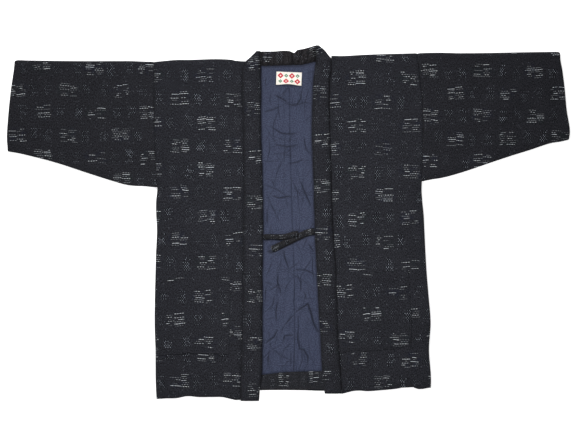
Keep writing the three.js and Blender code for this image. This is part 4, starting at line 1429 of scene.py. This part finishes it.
def pocketPiece(side):
    pocket = pockets[side]
    wide = abs(pocket["outer"] - pocket["inner"])
    high = pocket["mouth"] - pocket["foot"]
    rows = rimmed(high, pockets["spacing"])[:, None]
    columns = rimmed(wide, pockets["spacing"])[None, :]
    x, y = pocketGrid(side, rows, columns)
    under = bodyFace(side, x, y) + layers["gap"]
    inRows = np.minimum(rows, 1 - rows) * high
    inColumns = np.minimum(columns, 1 - columns) * wide
    fromEdge = np.minimum(inRows, inColumns)
    fromMouth = (1 - rows) * high
    hem = pockets["hemThick"] * (1 - ease(fromMouth, pockets["hemDepth"] - 1, pockets["hemDepth"] + 1))
    stitched = pockets["stitchDip"] * bell(fromEdge - stitches["inset"], 0.9) * (fromMouth > 6)
    stitched = stitched + 0.4 * bell(fromMouth - pockets["hemDepth"], 0.9)
    slack = 0.45 * softNoise(x, y, 40, pocket["seed"]) * rounding(fromEdge, 25) + 0.2
    rim = pocket["edgeFall"] * (1 - rounding(fromEdge, pocket["edgeWidth"]))
    face = under + layers["pocket"] + hem + slack - stitched - rim
    outside = np.stack([x, y, face], axis=-1)
    inside = np.stack([x, y, under], axis=-1)
    key = "pocket" + side.capitalize()
    piece = sheetSolid(key + "Cloth", outside, inside, clothMap(x, y, kasuri[key]), np.ones(x.shape, bool),
                       side == "right", [outerCloth["pockets"]])
    finishPiece(piece, "outer_cloth", "pocket_" + side)
    wide * millimetre + 0.004
    high * millimetre + 0.008
    return piece


# The ties, each a line of places along its middle
ties = {
    "around": 28,  # points round the section
    "wrinkle": 1.1,  # depth of the creases, as a share of half its thickness
    "left": {
        "width": 12.0,
        "seed": 101,
        "thick": 3.0,
        "x": [-55.4, -50, -44, -38, -32, -26, -20, -14, -8, -2, 4, 10, 16, 22],
        "y": [-29.7, -29.5, -29.3, -29.2, -29.4, -29.8, -30, -29.8, -29, -27.6, -26, -24.3, -22.6, -21],
        "z": [15.2, 14.2, 13.3, 12.6, 12.4, 12.4, 12.9, 13.9, 14.0, 14.0, 14.0, 14.0, 14.0, 13.9],
    },
    "right": {
        "width": 14.6,
        "seed": 104,
        "thick": 3.0,
        "x": [57, 51, 44, 37, 30, 23, 16, 9, 2, -5, -12, -19, -26, -32, -37],
        "y": [
            -17.5, -18, -19.6, -22.2, -25.2, -28.4, -31.8, -35.2, -38.6, -42, -45.4, -48.8, -52, -54.8, -57,
        ],
        "z": [14.4, 12.9, 11.6, 10.8, 10.6, 10.6, 10.6, 10.6, 10.6, 10.6, 10.6, 10.6, 10.6, 10.6, 10.6],
    },
}


def tiePiece(side):
    route = ties[side]
    key = "tie" + side.capitalize()
    knots = np.stack([route["x"], route["y"], route["z"]], axis=1).astype(float)
    steps = np.linspace(0, len(knots) - 1, 6 * (len(knots) - 1) + 1)
    centre = np.stack([smoothRow(knots[:, k], steps) for k in range(3)], axis=1)
    tangent = np.gradient(centre, axis=0)
    tangent /= np.linalg.norm(tangent, axis=1)[:, None]
    across = np.stack([-tangent[:, 1], tangent[:, 0], np.zeros(len(centre))], axis=1)
    across /= np.linalg.norm(across, axis=1)[:, None]
    up = np.cross(tangent, across)
    length = np.concatenate([[0], np.cumsum(np.linalg.norm(np.diff(centre, axis=0), axis=1))])
    angle = np.arange(ties["around"]) * 2 * math.pi / ties["around"]
    wide = np.sign(np.cos(angle)) * np.abs(np.cos(angle)) ** 0.55
    deep = np.sign(np.sin(angle)) * np.abs(np.sin(angle)) ** 0.8
    toEnd = length[-1] - length
    seed = route["seed"]
    narrow = 1 - 0.45 * (1 - rounding(toEnd, 7)) + 0.07 * softNoise(length, 0 * length, 17, seed)
    flatten = 1 - 0.6 * (1 - rounding(np.minimum(toEnd, length + 1.5), 4))
    half = route["width"] / 2
    fromMiddle = wide[None, :] * half
    wrinkles = softNoise(length[:, None] + 0.5 * fromMiddle, fromMiddle * 0.6, 9, seed + 1)
    lumps = 1 + ties["wrinkle"] * (0.55 * wrinkles - 0.1) * (deep[None, :] > 0)
    ring = (centre[:, None, :]
            + across[:, None, :] * (fromMiddle * narrow[:, None])[:, :, None]
            + up[:, None, :] * (deep[None, :] * (route["thick"] / 2 * flatten)[:, None] * lumps)[:, :, None])
    u = np.broadcast_to(length[:, None], ring.shape[:2])
    v = np.broadcast_to(fromMiddle + np.where(deep < 0, 20, 0)[None, :], ring.shape[:2])
    uv = clothMap(u, v, kasuri[key])
    piece = loftSolid(key + "Strap", ring, uv, [outerCloth["ties"]])

    # painted shade along each tie's lower side and in patches of folds on its upper side
    def shadeAmountAt(x, y, z):
        off, beside, _ = lineDistance(x, y, route)
        lower = -sides[side] * beside * off
        folds = np.clip(softNoise(x + 0.5 * y, y * 0.7, 9, seed + 2), 0, 1)
        return 1.1 * ease(lower, 0.1 * half, 0.95 * half) + 0.8 * folds * ease(-lower, -half, half)

    shadeCavity(piece, shadeAmountAt)
    finishPiece(piece, "collar_cloth", "tie_" + side)
    return piece


# The woven label
label = {
    "x": 1.0,
    "y": 319.0,
    "width": 56.0,
    "height": 29.0,
    "thick": 0.7,
    "slant": -0.04,
    "lift": 2.6,  # how far the middle of its lower edge stands off the lining
    "bow": 2.2,  # how far that place bows up
    "seed": 111,
    "columns": 57,
    "rows": 31,
}


def labelPiece():
    wide, high = label["width"], label["height"]
    u = np.linspace(-0.5, 0.5, label["columns"])[None, :] * wide
    v = np.linspace(-0.5, 0.5, label["rows"])[:, None] * high
    low = ease(-v, high * 0.1, high * 0.5)
    arch = np.cos(np.clip(u / wide, -0.5, 0.5) * math.pi) ** 2
    lift = label["lift"] * low * arch + 0.25 * softNoise(u, v, 20, label["seed"]) + 0.3
    yLocal = v + label["bow"] * low * arch
    turn = label["slant"]
    x = label["x"] + u * math.cos(turn) - yLocal * math.sin(turn)
    y = label["y"] + u * math.sin(turn) + yLocal * math.cos(turn)
    base = np.full(x.shape, liningTop + layers["gap"]) + np.maximum(lift, 0)
    outside = np.stack([x, y, base + label["thick"]], axis=-1)
    inside = np.stack([x, y, base], axis=-1)
    uv = np.stack(np.broadcast_arrays(u, v), axis=-1) * millimetre
    piece = sheetSolid("neckLabel", outside, inside, uv, np.ones(x.shape, bool), False, [labelRibbon])
    finishPiece(piece, "label_cloth", "label")
    return piece


# The threads round each pocket
stitches = {
    "pitch": 4.4,
    "length": 2.9,
    "thick": 0.6,
    "dip": 0.12,  # how far the ends of a stitch go down
    "inset": 3.0,  # from the pocket's edge
    "sides": 6,
    # places along a stitch and its thickness there, as shares
    "profile": [(-0.5, 0.35), (-0.32, 0.9), (0.0, 1.0), (0.32, 0.9), (0.5, 0.35)],
}


def stitchRuns(name, runs, material, slot):
    # one small thread after another, half sunk in the cloth
    allPoints, allFaces, base = [], [], 0
    around, profile = stitches["sides"], stitches["profile"]
    angle = np.arange(around) * 2 * math.pi / around
    here = np.arange(around)
    for line in runs:
        lengths = np.concatenate([[0], np.cumsum(np.linalg.norm(np.diff(line, axis=0), axis=1))])
        half = stitches["pitch"] / 2
        for at in np.arange(half, lengths[-1] - half, stitches["pitch"]):
            ends = [np.array([np.interp(at + h * stitches["length"], lengths, line[:, k]) for k in range(3)])
                    for h in (-0.5, 0.5)]
            direction = (ends[1] - ends[0]) / np.linalg.norm(ends[1] - ends[0])
            side = np.cross(direction, (0, 0, 1.0))
            side /= np.linalg.norm(side)
            up = np.cross(side, direction)
            ring = (np.outer(np.cos(angle), side) + np.outer(np.sin(angle), up)) * stitches["thick"] / 2
            middle = (ends[0] + ends[1]) / 2
            for t, r in profile:
                sunk = up * t * t * stitches["dip"] * 4
                allPoints.append(middle + direction * t * stitches["length"] - sunk + ring * r)
            for k in range(len(profile) - 1):
                a, b = base + k * around + here, base + k * around + (here + 1) % around
                allFaces += np.stack([a, b, b + around, a + around], axis=1).tolist()
            end = base + (len(profile) - 1) * around
            allFaces += [(base + here[::-1]).tolist(), (end + here).tolist()]
            base += around * len(profile)
    points = np.concatenate(allPoints)
    piece = makeMesh(name, points, allFaces, points[:, :2] * millimetre, [material])
    finishPiece(piece, slot)
    return piece


def pocketStitches(side):
    pocket = pockets[side]
    wide = abs(pocket["outer"] - pocket["inner"])
    high = pocket["mouth"] - pocket["foot"]
    a, b = stitches["inset"] / wide, stitches["inset"] / high
    steps = np.linspace(0, 1, 60)
    still = np.ones_like(steps)

    def lineOf(rows, columns):
        x, y = pocketGrid(side, rows, columns)
        return np.stack([x, y, bodyFace(side, x, y) + layers["gap"] + layers["pocket"] - 0.15], axis=-1)

    hemAt = 1 - pockets["hemDepth"] / high
    runs = [
        lineOf(1 - steps, still * a),
        lineOf(still * b, a + steps * (1 - 2 * a)),
        lineOf(steps, still * (1 - a)),
        lineOf(still * hemAt, a + steps * (1 - 2 * a)) + np.array([0, 0, 0.2]),
    ]
    return stitchRuns("pocketStitches" + side.capitalize(), runs, darkThread, "outer_cloth")


def buildJacket():
    for side in sides:
        bodyPiece(side)
        sleevePiece(side)
        collarPiece(side)
        liningPiece(side)
        pocketPiece(side)
        tiePiece(side)
        pocketStitches(side)
    print("walls, bands, linings, pockets and ties done")
    neckPiece()
    facingPiece()
    labelPiece()
    print("neck, facing and label done")


# Floor, light and camera
room = {
    "floorSize": 80.0,
    "floorColour": (0.92, 0.92, 0.92),
    "floorRough": 0.9,
    "floorGloss": 0.1,
    "floorGlow": 0.85,  # keeps the paper white out to its corners
    "lamps": {
        "key": {"at": (-1.9, 2.5, 4.3), "size": (1.4, 1.4), "power": 165.0, "aimed": True},
        "overhead": {"at": (-0.02, 0, 0.62), "size": (0.25, 0.9), "power": 2.85, "aimed": False},
    },
    "sky": 0.12,
    "lens": 85.0,
    "sensor": 36.0,
    "metresPerPixel": 0.0022,
    "pixelsAcross": 580,
    "aimAt": (0.0033, 0.0132, 0.012),
}


def makeFloor():
    bpy.ops.mesh.primitive_plane_add(size=room["floorSize"], location=(0, 0, 0))
    floor = bpy.context.object
    floor.name = "floor"
    paper = bpy.data.materials.new("palePaper")
    paper.use_nodes = True
    shader = paper.node_tree.nodes["Principled BSDF"]
    shader.inputs["Base Color"].default_value = (*room["floorColour"], 1)
    shader.inputs["Roughness"].default_value = room["floorRough"]
    shader.inputs["Specular IOR Level"].default_value = room["floorGloss"]
    shader.inputs["Emission Color"].default_value = (1, 1, 1, 1)
    shader.inputs["Emission Strength"].default_value = room["floorGlow"]
    floor.data.materials.append(paper)


def makeLamps():
    for name, look in room["lamps"].items():
        lamp = bpy.data.lights.new(name, "AREA")
        lamp.energy = look["power"]
        lamp.shape = "RECTANGLE"
        lamp.size, lamp.size_y = look["size"]
        holder = bpy.data.objects.new(name, lamp)
        holder.location = look["at"]
        if look["aimed"]:
            holder.rotation_euler = (-Vector(look["at"])).to_track_quat("-Z", "Y").to_euler()
        holder.visible_camera = False
        bpy.context.scene.collection.objects.link(holder)


def makeSky():
    # dim for the light that falls on the cloth, white where the camera looks past the floor
    sky = bpy.data.worlds.new("studio")
    sky.use_nodes = True
    nodes, links = sky.node_tree.nodes, sky.node_tree.links
    backdrop = nodes["Background"]
    backdrop.inputs["Color"].default_value = (1, 1, 1, 1)
    ray = nodes.new("ShaderNodeLightPath")
    level = nodes.new("ShaderNodeMapRange")
    links.new(ray.outputs["Is Camera Ray"], level.inputs["Value"])
    level.inputs["To Min"].default_value = room["sky"]
    level.inputs["To Max"].default_value = 1.0
    links.new(level.outputs["Result"], backdrop.inputs["Strength"])
    bpy.context.scene.world = sky


def makeCamera():
    lens = bpy.data.cameras.new("camera")
    lens.lens = room["lens"]
    lens.sensor_width = room["sensor"]
    lens.clip_end = 100
    eye = bpy.data.objects.new("camera", lens)
    away = room["lens"] / room["sensor"] * room["metresPerPixel"] * room["pixelsAcross"]
    eye.location = Vector(room["aimAt"]) + Vector((0, 0, away))
    bpy.context.scene.collection.objects.link(eye)
    bpy.context.scene.camera = eye


makeCamera()
makeFloor()
makeLamps()
makeSky()
bpy.context.scene.view_settings.view_transform = "Standard"
print("room done")
buildJacket()
print("jacket dressed")
